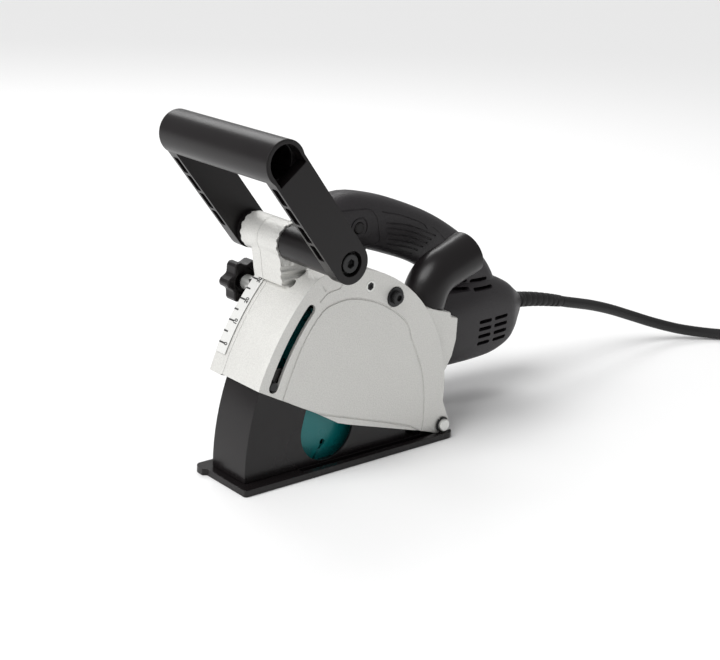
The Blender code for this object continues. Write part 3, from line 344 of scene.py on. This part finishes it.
def make_materials():
    """Every finish of the tool."""
    warm_black = (0.0065, 0.0052, 0.0056)
    return {
        "cast_silver": surface("cast_silver", (0.66, 0.655, 0.63), 0.46, 0.45, 1.1, 0.9, 0.00035, vary=0.06,
                               speck=0.07),
        "black_coat": surface("black_coat", warm_black, 0.3, 0.0, 0.6, 0.12, vary=0.3, specular=0.3),
        "gloss_coat": surface("gloss_coat", warm_black, 0.26, 0.0, 0.9, 0.1, vary=0.3, specular=0.32),
        "black_plastic": surface("black_plastic", warm_black, 0.33, 0.0, 0.7, 0.2, vary=0.3, specular=0.3),
        "gloss_plastic": surface("gloss_plastic", warm_black, 0.3, 0.0, 1.2, 0.12, vary=0.3, specular=0.32),
        "dark_housing": surface("dark_housing", (0.020, 0.017, 0.019), 0.45, 0.0, 0.8, 0.45, vary=0.2,
                                specular=0.35),
        "soft_housing": surface("soft_housing", (0.019, 0.0165, 0.0185), 0.46, 0.0, 1.0, 0.7, 0.0003,
                                vary=0.2, specular=0.4, speck=0.25),
        "steel": surface("steel", (0.56, 0.56, 0.56), 0.28, 1.0, 0.4, 0.1),
        "zinc": surface("zinc", (0.74, 0.745, 0.72), 0.32, 0.8, 0.5, 0.12),
        "black_steel": surface("black_steel", (0.03, 0.03, 0.031), 0.36, 0.6, 0.4, 0.12),
        "wheel_teal": surface("wheel_teal", (0.003, 0.19, 0.195), 0.28, 0.1, 0.4, 0.08),
        "wheel_rim": surface("wheel_rim", (0.003, 0.14, 0.15), 0.4, 0.2, 0.3, 0.3),
        "copper": surface("copper", (0.65, 0.30, 0.15), 0.3, 1.0, 0.4, 0.1),
        "label_white": surface("label_white", (0.60, 0.60, 0.585), 0.4, 0.0, 0.8, 0.05, vary=0.03),
        "ink": surface("ink", (0.02, 0.02, 0.02), 0.5),
        "rubber": surface("rubber", (0.012, 0.0115, 0.012), 0.55, 0.0, 0.6, 0.25, vary=0.25, specular=0.35),
    }


materials = make_materials()


def dress_frame():
    """Give every CAD node the procedural finish of its slot."""
    for part in frame["record"]["subparts"]:
        obj = frame["nodes"][part["node"]]
        obj.data.materials.clear()
        obj.data.materials.append(materials[part["material_slot"]])


# ---------------------------------------------------------------- cord

def ease(t):
    """Smooth step from 0 to 1."""
    t = min(1.0, max(0.0, t))
    return t * t * (3 - 2 * t)


def coil_point(n):
    """Point of the coil after n turns: inwards on the floor, outwards on the second layer, inwards on
    the third, and one turn on top that leads to the plug."""
    if n < 1 / 6:                          # from the free run into the first turn
        r = 75.4 - 10.4 * ease(n * 6)
    elif n < 2.167:
        r = COIL_WIDE - COIL_PITCH * (n - 1 / 6)
    elif n < 2.45:
        r = COIL_NARROW
    elif n < 4.45:
        r = COIL_NARROW + COIL_PITCH * (n - 2.45)
    elif n < 4.75:
        r = COIL_WIDE
    elif n < 6.5:
        r = COIL_WIDE - COIL_PITCH * (n - 4.75)
    else:                                  # out to the plug's place
        r = 47.2 + 7.8 * ease((n - 6.85) / 0.5)
    z = (COIL_FLOOR + COIL_LAYER * ease((n - 2.167) / 0.283) + COIL_LAYER * ease((n - 4.45) / 0.3)
         + COIL_LAYER * ease((n - 6.5) / 0.35))
    a = math.pi * (1 + 2 * n)
    return Vector((COIL[0] + r * math.cos(a), COIL[1] + r * math.sin(a), z))


def smooth(points, steps=6):
    """Catmull-Rom curve through the route points."""
    pts = [Vector(p) for p in points]
    pts = [pts[0] * 2 - pts[1]] + pts + [pts[-1] * 2 - pts[-2]]
    fine = []
    for i in range(1, len(pts) - 2):
        p0, p1, p2, p3 = pts[i - 1:i + 3]
        for k in range(steps):
            t = k / steps
            fine.append(0.5 * ((2 * p1) + (p2 - p0) * t + (2 * p0 - 5 * p1 + 4 * p2 - p3) * t * t
                               + (3 * p1 - p0 - 3 * p2 + p3) * t * t * t))
    return fine + [pts[-2]]


def add_cord():
    """The whole cord as one tube: the free run, the coil, and its plug."""
    route = smooth([CORD_EXIT] + CORD_POINTS, 4)
    route += [coil_point(k / STEPS_PER_TURN) for k in range(int(COIL_TURNS * STEPS_PER_TURN) + 1)]
    end = Vector(PLUG)
    route += [route[-1].lerp(end, 0.5), end]
    rings = []
    for i, p in enumerate(route):
        d = (route[min(i + 1, len(route) - 1)] - route[max(i - 1, 0)]).normalized()
        side = d.cross(Vector((0, 0, 1))).normalized()
        up = side.cross(d)
        rings.append([p + (side * math.cos(t) + up * math.sin(t)) * CORD_R
                      for t in (2 * math.pi * k / CORD_SIDES for k in range(CORD_SIDES))])
    cord = loft(rings)
    cord.name = cord.data.name = "mains_cord"
    cord.data.materials.append(materials["rubber"])
    cord.data.shade_smooth()
    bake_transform(cord)
    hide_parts("cord", "cord_coil")


# ---------------------------------------------------------------- copies of CAD nodes

def copy_of(node):
    """A copy of a CAD node's mesh that can be detailed."""
    mesh = frame["nodes"][node].data.copy()
    mesh.materials.clear()
    obj = link(bpy.data.objects.new(node + "_copy", mesh))
    return bake(obj)


def arc(cx, cz, radius, start, end, count):
    """Points on an arc in X and Z, with angles in degrees from +X towards +Z."""
    angles = [math.radians(start + (end - start) * i / (count - 1)) for i in range(count)]
    return [(cx + radius * math.cos(a), cz + radius * math.sin(a)) for a in angles]


def slot(radius, half, e0, e1, count):
    """Outline of an arc slot about the pivot between two elevations, with round ends."""
    ends = [(-radius * math.cos(math.radians(e)), PIVOT_Z + radius * math.sin(math.radians(e)))
            for e in (e0, e1)]
    return (arc(0, PIVOT_Z, radius + half, 180 - e0, 180 - e1, count)
            + arc(*ends[1], half, 180 - e1, -e1, 25)[1:-1]
            + arc(0, PIVOT_Z, radius - half, 180 - e1, 180 - e0, count)
            + arc(*ends[0], half, -e0, -e0 - 180, 25)[1:-1])


def stadium(p, q, radius, count=17):
    """Outline of a bar with round ends."""
    a = math.degrees(math.atan2(q[1] - p[1], q[0] - p[0]))
    return arc(*q, radius, a - 90, a + 90, count) + arc(*p, radius, a + 90, a + 270, count)


def tube(points, radius, sides=10, cyclic=False):
    """A round line through points, used as a groove cutter or a raised line."""
    pts = [Vector(p) for p in points]
    count = len(pts)
    rings = []
    for i, p in enumerate(pts):
        before = pts[i - 1] if cyclic or i else p
        after = pts[(i + 1) % count] if cyclic or i < count - 1 else p
        d = (after - before).normalized()
        side = d.cross(Vector((0, 1, 0)))
        side = (side if side.length > 0.1 else d.cross(Vector((0, 0, 1)))).normalized()
        up = side.cross(d)
        rings.append([p + (side * math.cos(t) + up * math.sin(t)) * radius
                      for t in (2 * math.pi * k / sides for k in range(sides))])
    if cyclic:
        rings.append(rings[0])
        return bake(loft(rings, closed=False))
    return loft(rings)


def block(centre, size, direction, bevel=0.0):
    """A box of length, width (along Y) and height, whose length lies along an X-Z direction."""
    length, width, height = size
    dx, dz = direction
    run = math.hypot(dx, dz)
    dx, dz = dx / run, dz / run
    cx, cy, cz = centre
    half = [(dx * length / 2 * s - dz * height / 2 * t, dz * length / 2 * s + dx * height / 2 * t)
            for s, t in ((-1, -1), (1, -1), (1, 1), (-1, 1))]
    return prism([(cx + x, cz + z) for x, z in half], cy - width / 2, cy + width / 2, bevel)


# ---------------------------------------------------------------- front handle

HUB = (-143.0, 172.0)                      # axis that the handle tilts about
HUB_R = 14.0
GRIP = (-202.3, 245.4)                     # axis of the tube
GRIP_R, BORE_R = 15.5, 11.8
ARM_Y = ((-67.0, -57.0), (44.0, 54.0))     # near and far arm
BOLT_R, BOLT_HEAD_R = 4.3, 9.0
POCKETS = 4                                # recesses along the front of each arm


def add_front_handle():
    """Stirrup handle: tube with a D-shaped opening, arms with pockets, and bolt bosses."""
    run = Vector((GRIP[0] - HUB[0], GRIP[1] - HUB[1])).normalized()
    front = Vector((-run.y, run.x))
    near, far = ARM_Y
    handle = join(rod_y(GRIP, near[0] + 0.2, far[1] - 0.2, GRIP_R, 72),
                  prism(stadium(HUB, GRIP, 14.5, 29), *near), prism(stadium(HUB, GRIP, 14.5, 29), *far),
                  rod_y(HUB, near[1] - 3, -3.3, 12.9, 64), rod_y(HUB, 40.3, far[0] + 3, 12.9, 64))
    angle = math.degrees(math.atan2(run.y, run.x))
    opening = arc(*GRIP, 12.4, angle - 90, angle + 90, 30)
    opening += [(GRIP[0] - 10.5 * run.x + 12.4 * s * front.x, GRIP[1] - 10.5 * run.y + 12.4 * s * front.y)
                for s in (1, -1)]
    handle = cut(handle, prism(opening, near[0] - 5, near[1] - 0.5),
                 rod_y(GRIP, near[1] - 2, far[1] - 6, BORE_R, 48),
                 rod_y(HUB, -100, 100, BOLT_R, 24),
                 rod_y(HUB, -100, near[0] + 5, BOLT_HEAD_R, 48),
                 rod_y(HUB, far[1] - 5, 100, BOLT_HEAD_R, 48))
    for low, high in ARM_Y:
        middle = (low + high) / 2
        for k in range(POCKETS):
            place = Vector(HUB) + run * (24 + 17.5 * k) + front * 13.5
            pocket = block((place.x, middle, place.y), (15.0, 5.6, 9.0), (run.x, run.y), 1.2)
            handle = cut(handle, pocket)
    a = math.radians(angle - 105)
    seam = [(GRIP[0] + GRIP_R * math.cos(a), y, GRIP[1] + GRIP_R * math.sin(a)) for y in range(-54, 43, 8)]
    handle = cut(handle, tube(seam, 0.35, 6))
    handle = round_edges(handle, 0.9, 3, 40)
    finish_piece(handle, "front_handle_body", "front_handle", materials["black_plastic"],
                 ["front_handle"])


# ---------------------------------------------------------------- cover

COVER_FACE = -23.2                         # Y of the cover's flat face
# line round the cover's flat face, and the way back along its foot
PANEL = [(-161.8, 63.2), (-156.3, 77.9), (-148.4, 96.7), (-140.1, 110.9), (-131.7, 121.4),
         (-122.9, 127.4), (-104.3, 130.1), (-84.7, 126), (-69.4, 119.8), (-53.4, 109.5), (-44.3, 100.2),
         (-38.9, 87.3), (-31.1, 71.4), (-25.3, 56.5), (-22, 39.3), (-20.8, 22.4), (-21.5, 8.3)]
PANEL_FOOT = [(-28.5, 12.2), (-35.2, 16.4), (-60, 25), (-95, 36), (-126.6, 45.8), (-147, 54.6)]
HUB_NOTCHES, NOTCH_R = 14, 2.3
DOME, DOME_R = (-115, 38), 115.5           # front edge of the far casting


def wavy_ring(y, outward):
    """Cutters for the notches round a hub's end face at y."""
    x, z = HUB
    cutters = []
    for k in range(HUB_NOTCHES):
        a = 2 * math.pi * (k + 0.5) / HUB_NOTCHES
        ends = [(x + r * math.cos(a), y + outward * 1.2, z + r * math.sin(a)) for r in (8.5, HUB_R + 4)]
        cutters.append(rod(*ends, NOTCH_R, 16))
    return cutters


def add_cover():
    """Near casting with its panel line, cast arrow, rounded edges and notched hub face."""
    cover = copy_of("wheel_cover")
    face = COVER_FACE
    line = smooth([(x, face, z) for x, z in PANEL], 5) + [Vector((x, face, z)) for x, z in PANEL_FOOT]
    cover = cut(cover, tube(line, 0.75, 8, cyclic=True))
    arrow = smooth([(-131.6, face, 131.8), (-124.6, face, 137.4), (-113.6, face, 139.4)], 6)
    for route in (arrow, [(-113.6, face, 139.4), (-112.0, face, 142.1)],
                  [(-129.6, face, 143.2), (-126.6, face, 139.1)]):
        cover = cut(cover, tube(route, 0.6, 6))
    flutes = [rod((-160, -4.2, z), (-120, -4.2, z), 2.4, 16) for z in (153.5, 147.8, 142.1)]
    cover = cut(cover, *wavy_ring(-3.0, -1), *flutes)
    cover = round_edges(cover, 0.9, 3, 38)
    finish_piece(cover, "wheel_cover_body", "head", materials["cast_silver"], ["wheel_cover"], 32)


def add_case():
    """Far casting with its notched hub face and the gap line where the cover meets it."""
    edge = [(x, -16.7, z) for x, z in arc(*DOME, DOME_R, 52, 0, 40)]
    case = cut(copy_of("blade_case"), tube(edge, 0.9, 8), *wavy_ring(40.0, 1))
    case = round_edges(case, 0.6, 2, 38)
    finish_piece(case, "blade_case_body", "head", materials["cast_silver"], ["blade_case"], 32)


# ---------------------------------------------------------------- scale

DEPTH_MAX = 30
SCALE_LOW, SCALE_HIGH = 25.4, 40.7         # elevation of the 0 and the 30 mm mark, seen from the pivot
TICK_R, FIGURE_R = 195.42, 195.4


def add_scale():
    """Printed depth scale: ticks each 5 mm and the tens as numbers."""
    marks = []
    for depth in range(0, DEPTH_MAX + 1, 5):
        e = math.radians(SCALE_LOW + (SCALE_HIGH - SCALE_LOW) * depth / DEPTH_MAX)
        long = 4.4 if depth % 10 else 6.0
        x, z = -TICK_R * math.cos(e), PIVOT_Z + TICK_R * math.sin(e)
        marks.append(block((x, 34.2 - long / 2, z), (1.15, long, 0.3), (math.sin(e), math.cos(e))))
        if depth % 10 == 0:
            marks.append(number(depth, e))
    mesh = merge(marks)
    finish_piece(mesh, "scale_marks", "head", materials["ink"])


def number(value, e):
    """A depth figure that lies on the curved strip."""
    curve = bpy.data.curves.new("figure", "FONT")
    curve.body = str(value)
    curve.size = 4.6 * MM
    curve.align_x, curve.align_y = "CENTER", "CENTER"
    curve.extrude = 0.06 * MM
    curve.offset = 0.12 * MM
    obj = link(bpy.data.objects.new("figure", curve))
    along = Vector((math.sin(e), 0, math.cos(e)))
    out = Vector((-math.cos(e), 0, math.sin(e)))
    across = along.cross(out)
    place = Vector((-FIGURE_R * math.cos(e), 26.4, PIVOT_Z + FIGURE_R * math.sin(e))) * MM
    turn = Matrix((along, out.cross(along), out)).transposed().to_4x4()
    obj.matrix_world = Matrix.Translation(place) @ turn
    bpy.context.view_layer.update()
    return bake(obj)


def merge(objects):
    """One object from several baked meshes."""
    bm = bmesh.new()
    for obj in objects:
        bm.from_mesh(obj.data)
        bpy.data.objects.remove(obj, do_unlink=True)
    mesh = bpy.data.meshes.new("merged")
    bm.to_mesh(mesh)
    bm.free()
    return link(bpy.data.objects.new("merged", mesh))


# ---------------------------------------------------------------- wheels

SPINDLE = (-105.1, 64.1)
WHEEL_TURN = -8.0                          # degrees from the CAD's wheel, as in the photograph
SEGMENTS, SEGMENT_SPAN = 10, 31.6
RIM_LOW, RIM_DEPTH, RIM_ROWS = 53.5, 9.0, 8
RIM_STEPS = 76
RIB_ANGLE, RIB_SLANT = 2.63, 1.35          # from rib to rib, and how far a rib leans from row to row


def rim_segment(y, start):
    """One segment of the rim, from the angle start, with diagonal ribs on both faces."""
    cx, cz = SPINDLE
    bm = bmesh.new()
    sides = []
    for side in (-1, 1):
        grid = []
        for j in range(RIM_ROWS + 1):
            r = RIM_LOW + RIM_DEPTH * j / RIM_ROWS
            row = []
            for k in range(RIM_STEPS + 1):
                a = start + SEGMENT_SPAN * k / RIM_STEPS
                wave = math.sin(math.radians((a + RIB_SLANT * j) * 360 / RIB_ANGLE))
                rib = 0.5 + 0.5 * math.tanh(4 * wave)
                lift = 0.8 + (0.65 * rib if 0 < j < RIM_ROWS and 0 < k < RIM_STEPS else 0.35)
                t = math.radians(a)
                row.append(bm.verts.new((cx + r * math.cos(t), y + 1.1 + side * lift,
                                         cz + r * math.sin(t))))
            grid.append(row)
        for j in range(RIM_ROWS):
            for k in range(RIM_STEPS):
                bm.faces.new((grid[j][k], grid[j][k + 1], grid[j + 1][k + 1], grid[j + 1][k]))
        sides.append(grid)
    low, high = sides
    border = ([(0, k) for k in range(RIM_STEPS)] + [(j, RIM_STEPS) for j in range(RIM_ROWS)]
              + [(RIM_ROWS, k) for k in range(RIM_STEPS, 0, -1)] + [(j, 0) for j in range(RIM_ROWS, 0, -1)])
    for (j, k), (jj, kk) in zip(border, border[1:] + border[:1]):
        bm.faces.new((low[j][k], low[jj][kk], high[jj][kk], high[j][k]))
    return mesh_object(bm)


def add_wheel(node, y):
    """Diamond wheel: painted steel core and a rim of segments."""
    core = copy_of(node)
    centre = Vector((SPINDLE[0], 0, SPINDLE[1])) * MM
    core.data.transform(Matrix.Translation(centre) @ Matrix.Rotation(math.radians(-WHEEL_TURN), 4, "Y")
                        @ Matrix.Translation(-centre))
    core = round_edges(core, 0.15, 1, 50)
    finish_piece(core, node + "_core", "spindle", materials["wheel_teal"], [node])
    rim = merge([rim_segment(y, 36 * i + 11 + 2.2 + WHEEL_TURN) for i in range(SEGMENTS)])
    finish_piece(rim, node + "_rim", "spindle", materials["wheel_rim"])


# ---------------------------------------------------------------- dust nozzle

OUTLET = (-8.6, 105.4)                     # middle of the outlet's face
STEM = (0.29, 0.957)                       # direction of the outlet


def add_nozzle():
    """Smooth dust elbow with a thickened mouth."""
    ox, oz = OUTLET
    sx, sz = STEM
    tilt = math.atan2(sx, sz)
    bend, turn = 26.0, math.radians(52.6)
    tangent = bend * math.tan(turn / 2)
    start = (-2.2 - tangent * sx, 126.3 - tangent * sz)
    centre = (start[0] + bend * sz, start[1] - bend * sx)
    path = [((ox + 0.4 * sx, oz + 0.4 * sz), tilt)]
    for i in range(19):
        a = tilt + turn * i / 18
        path.append(((centre[0] - bend * math.cos(a), centre[1] + bend * math.sin(a)), a))
    end = tilt + turn
    (lx, lz), _ = path[-1]

    def at(distance):
        return ((lx + distance * math.sin(end), lz + distance * math.cos(end)), end)

    def ring(station, radius):
        (px, pz), a = station
        return [(px + radius * math.cos(t) * math.cos(a), radius * math.sin(t),
                 pz - radius * math.cos(t) * math.sin(a))
                for t in (2 * math.pi * k / 56 for k in range(56))]

    outer = [ring(path[0], 16.9), ring(path[0], 17.5)] + [ring(p, 17.5) for p in path[1:]]
    outer += [ring(at(17.4), 17.5), ring(at(18.2), 17.7), ring(at(29.2), 17.7), ring(at(29.8), 17.2)]
    inner = [ring(at(29.8), 15.9), ring(at(22), 15.6), ring(at(21.5), 14.6), ring(at(2), 13.4)]
    inner += [ring(p, 12.4) for p in reversed(path)]
    spigot = [ring(((ox - 7 * sx, oz - 7 * sz), tilt), r) for r in (12.4, 13.6)]
    spigot.append(ring(((ox + 0.4 * sx, oz + 0.4 * sz), tilt), 13.6))
    rings = outer + inner + spigot
    nozzle = loft(rings + [rings[0]], closed=False)
    finish_piece(bake(nozzle), "dust_nozzle_body", "dust_nozzle", materials["gloss_plastic"],
                 ["dust_nozzle"])


# ---------------------------------------------------------------- rear handle

MOTOR_Y = 51.5
# X, Z and half height of the looped grip
GRIP_PATH = [(-111.5, 100, 15.2), (-106, 116, 15.5), (-97, 136, 16.5), (-81, 156, 19), (-58, 167, 21.5),
             (-30, 163.5, 22), (0, 154.5, 22), (32, 142, 21.5), (62, 125, 21), (88, 104, 20.5),
             (104, 84, 18)]
# X, bottom Z, top Z and half width of the rear housing
TAIL = [(40.3, 30, 98, 31.8), (62, 29.5, 101, 31.7), (88, 29.5, 105, 30.6), (110, 31, 102, 28.6),
        (128, 36.5, 95, 25.5), (139, 43, 88, 20), (147, 50, 83, 14.5), (152, 57, 79.5, 11.5)]
# X and Z along the cord guard
GUARD_SPINE = [(151.5, 69.8), (162, 68.9), (177, 67.0), (192, 64.4), (207, 61.3), (218, 58.8)]
SHELL_SCREWS = [(-96, 134), (34, 142), (75, 45)]
SCREW_FACES = [13.2, 13.2, 23.5]           # from the seam to each screw's seat
LOCK_OFF = (-49, 163)                      # lock-off button
# X limits and Z of the vents
VENTS = [(81, 97, 69), (101, 119, 69), (81, 97, 62.6), (101, 119, 62.6), (81, 97, 56.2),
         (101, 119, 56.2), (81, 97, 49.8), (101, 119, 49.8)]
TOP_VENTS = [(62, 74, 103.7), (77, 97, 103), (50, 74, 97.8), (77, 100, 96.6)]


def superellipse(centre, angle, half_height, half_width, power, count=72):
    """A ring across a path in X and Z, whose up direction has the given angle."""
    cx, cz = centre
    ux, uz = math.cos(angle), math.sin(angle)
    ring = []
    for k in range(count):
        t = 2 * math.pi * (k + 0.5) / count
        c, v = math.cos(t), math.sin(t)
        w = half_width * math.copysign(abs(c) ** (2 / power), c)
        h = half_height * math.copysign(abs(v) ** (2 / power), v)
        ring.append((cx + ux * h, MOTOR_Y + w, cz + uz * h))
    return ring


def handle_solid():
    """The looped grip and the rear housing as one smooth solid."""
    path = smooth([(x, half, z) for x, z, half in GRIP_PATH], 5)
    rings = []
    for i, p in enumerate(path):
        a, b = path[max(i - 1, 0)], path[min(i + 1, len(path) - 1)]
        direction = math.atan2(b.z - a.z, b.x - a.x) if i else math.pi / 2
        width = 18.5 + 1.5 * ease((p.x - 45) / 30)
        rings.append(superellipse((p.x, p.z), direction + math.pi / 2, p.y - 0.1, width - 0.1, 2.6))
    grip = loft(rings)
    path = smooth([(x, (high - low) / 2, (high + low) / 2) for x, low, high, _ in TAIL], 5)
    widths = smooth([(x, width, 0) for x, _, _, width in TAIL], 5)
    tail = loft([superellipse((p.x, p.z), math.pi / 2, p.y - 0.1, w.y - 0.1, 3.2)
                 for p, w in zip(path, widths)])
    return join(tail, grip)


def grip_side(x, z):
    """Y of the grip's near surface at an X and Z."""
    path = smooth([(px, half, pz) for px, pz, half in GRIP_PATH], 8)
    i = min(range(1, len(path) - 1), key=lambda k: (path[k].x - x) ** 2 + (path[k].z - z) ** 2)
    half = path[i].y
    height = min(0.97 * half, math.hypot(path[i].x - x, path[i].z - z))
    return MOTOR_Y - (18.4 + 1.5 * ease((x - 45) / 30)) * (1 - (height / half) ** 2.6) ** (1 / 2.6)


def side_line(points, radius, steps=5):
    """A groove cutter that follows the grip's near side through X and Z points."""
    fine = smooth([(x, 0, z) for x, z in points], steps)
    return tube([(p.x, grip_side(p.x, p.z), p.z) for p in fine], radius, 6)


def side_grooves():
    """Near-side lines: switch panel, soft-grip border and slanted ribs."""
    lines = [side_line([(-70, 178), (-50, 177.6), (-38, 176), (-31.8, 169.7), (-28.5, 158),
                        (-26.5, 150), (-31, 146), (-40, 143), (-56, 146.5)], 0.6),
             side_line([(-25.2, 173), (-6.9, 168.6), (12, 161.8), (20, 158), (24.5, 153.5)], 0.55),
             side_line([(30.5, 154.5), (38, 149), (45.6, 141.9)], 0.55)]
    for k in range(6):
        z = 164.0 - 4.4 * k
        rib = [(-21 + 1.0 * k, z), (5, z - 5.5), (34 - 4.5 * k, z - 17 + 1.9 * k)]
        lines.append(side_line(rib, 0.75, 7))
    return lines


def add_handle():
    """Two smooth shells with seam, vents, panel lines, ribs, screw wells and trigger slot."""
    trigger_slot = prism([(-86, 120), (-24, 120), (-24, 153), (-86, 153)], MOTOR_Y - 7.6, MOTOR_Y + 7.6)
    solid = cut(handle_solid(), trigger_slot,
                rod((145, MOTOR_Y, 70.3), (165, MOTOR_Y, 68.6), 8.0, 40))
    for side, name in ((-1, "near"), (1, "far")):
        copy = link(bpy.data.objects.new("half", solid.data.copy()))
        inner, outer = sorted((MOTOR_Y + side * 0.12, MOTOR_Y + side * 80))
        shell = boolean(copy, prism([(-160, 0), (200, 0), (200, 220), (-160, 220)], inner, outer),
                        "INTERSECT")
        far_edge = MOTOR_Y + side * 60
        for x0, x1, z in VENTS:
            slit = stadium((x0 + 1.6, z), (x1 - 1.6, z), 1.6, 9)
            shell = cut(shell, prism(slit, *sorted((MOTOR_Y + side * 20, far_edge))))
        for x0, x1, z in TOP_VENTS:
            slit = stadium((x0 + 1.5, z), (x1 - 1.5, z), 1.5, 9)
            shell = cut(shell, prism(slit, *sorted((MOTOR_Y + side * 8, far_edge))))
        if side > 0:
            for centre, face in zip(SHELL_SCREWS, SCREW_FACES):
                shell = cut(shell, rod_y(centre, MOTOR_Y + face, MOTOR_Y + 50, 3.6, 32))
        else:
            shell = cut(shell, rod_y(LOCK_OFF, 20, 46, 4.9, 40), *side_grooves())
            ring = cut(rod_y(LOCK_OFF, 20, 33.9, 8.6, 48), rod_y(LOCK_OFF, 19, 35, 7.4, 48))
            shell = cut(shell, ring)
        shell = round_edges(shell, 0.35, 2, 40)
        finish_piece(shell, f"handle_shell_{name}_body", "head", materials["soft_housing"],
                     [f"handle_shell_{name}"], 38)
    bpy.data.objects.remove(solid, do_unlink=True)


# ---------------------------------------------------------------- guard, base and small parts

def add_guard():
    """Inner guard with a rounder window, and the base, both with softened corners."""
    radius = math.hypot(SPINDLE[0], SPINDLE[1] - PIVOT_Z)
    raised = math.degrees(math.asin((SPINDLE[1] - PIVOT_Z) / radius))
    window = slot(radius, 24.7, raised - 16.9, raised + 30, 40)
    guard = cut(copy_of("inner_guard"), prism(window, -40, 40))
    guard = round_edges(guard, 0.6, 3, 40)
    finish_piece(guard, "inner_guard_body", "base", materials["gloss_coat"], ["inner_guard"], 40)
    base = copy_of("base_plate")
    base = round_edges(base, 0.7, 3, 50)
    finish_piece(base, "base_plate_body", "base", materials["gloss_coat"], ["base_plate"], 40)


def add_clip():
    """Open retaining clip in the groove of the pivot pin."""
    ring = cut(rod_y((0, PIVOT_Z), -24.6, -23.7, 6.4, 48), rod_y((0, PIVOT_Z), -26, -22, 4.4, 40),
               prism([(0, PIVOT_Z), (12, PIVOT_Z + 7.5), (12, PIVOT_Z - 7.5)], -26, -22))
    for angle in (120, 240):
        a = math.radians(angle)
        ring = cut(ring, rod_y((6.3 * math.cos(a), PIVOT_Z + 6.3 * math.sin(a)), -26, -22, 1.0, 20))
    ring = round_edges(ring, 0.15, 2)
    finish_piece(ring, "pivot_clip_ring", "base", materials["black_steel"], ["pivot_clip"])


def add_cord_guard():
    """Tapered bend relief with moulded rings, drooping towards the cord."""
    spine = smooth([(x, MOTOR_Y, z) for x, z in GUARD_SPINE], 12)
    rings = []
    for i, p in enumerate(spine):
        a, b = spine[max(i - 1, 0)], spine[min(i + 1, len(spine) - 1)]
        slope = math.atan2(b.z - a.z, b.x - a.x)
        share = i / (len(spine) - 1)
        radius = 7.5 - 2.1 * share
        if 0.12 < share < 0.94 and i % 6 in (3, 4):
            radius -= 1.0
        rings.append([(p.x - radius * math.sin(slope) * math.sin(t), MOTOR_Y + radius * math.cos(t),
                       p.z + radius * math.cos(slope) * math.sin(t))
                      for t in (2 * math.pi * k / 40 for k in range(40))])
    guard = round_edges(loft(rings), 0.3, 2, 50)
    finish_piece(guard, "cord_guard_body", "head", materials["rubber"], ["cord_guard"], 40)


def add_screw_bush():
    """Bright bush round the small cover screw."""
    place = (-84.6, 136.6)
    bush = cut(rod_y(place, -23.45, -22.0, 4.3, 48), rod_y(place, -25, -20, 3.2, 6))
    bush = round_edges(bush, 0.25, 2, 50)
    finish_piece(bush, "cover_screw_bush", "head", materials["zinc"])


def soften_rest():
    """Bevel and even shading on the CAD nodes that stay."""
    for name, obj in frame["nodes"].items():
        obj.data.shade_smooth()
        obj.data.set_sharp_from_angle(angle=math.radians(34))
        edge = obj.modifiers.new("edge", "BEVEL")
        edge.width = 0.35 * MM
        edge.segments = 2
        edge.limit_method = "ANGLE"
        edge.angle_limit = math.radians(42)
        even = obj.modifiers.new("even", "WEIGHTED_NORMAL")
        even.keep_sharp = True


# ---------------------------------------------------------------- build

def main():
    """Build the looks around the frame."""
    add_camera()
    add_stage()
    dress_frame()
    soften_rest()
    add_cord()
    add_front_handle()
    add_cover()
    add_case()
    add_scale()
    add_wheel("wheel_near", -10.0)
    add_wheel("wheel_far", 10.4)
    add_nozzle()
    add_handle()
    add_guard()
    add_clip()
    add_cord_guard()
    add_screw_bush()


main()
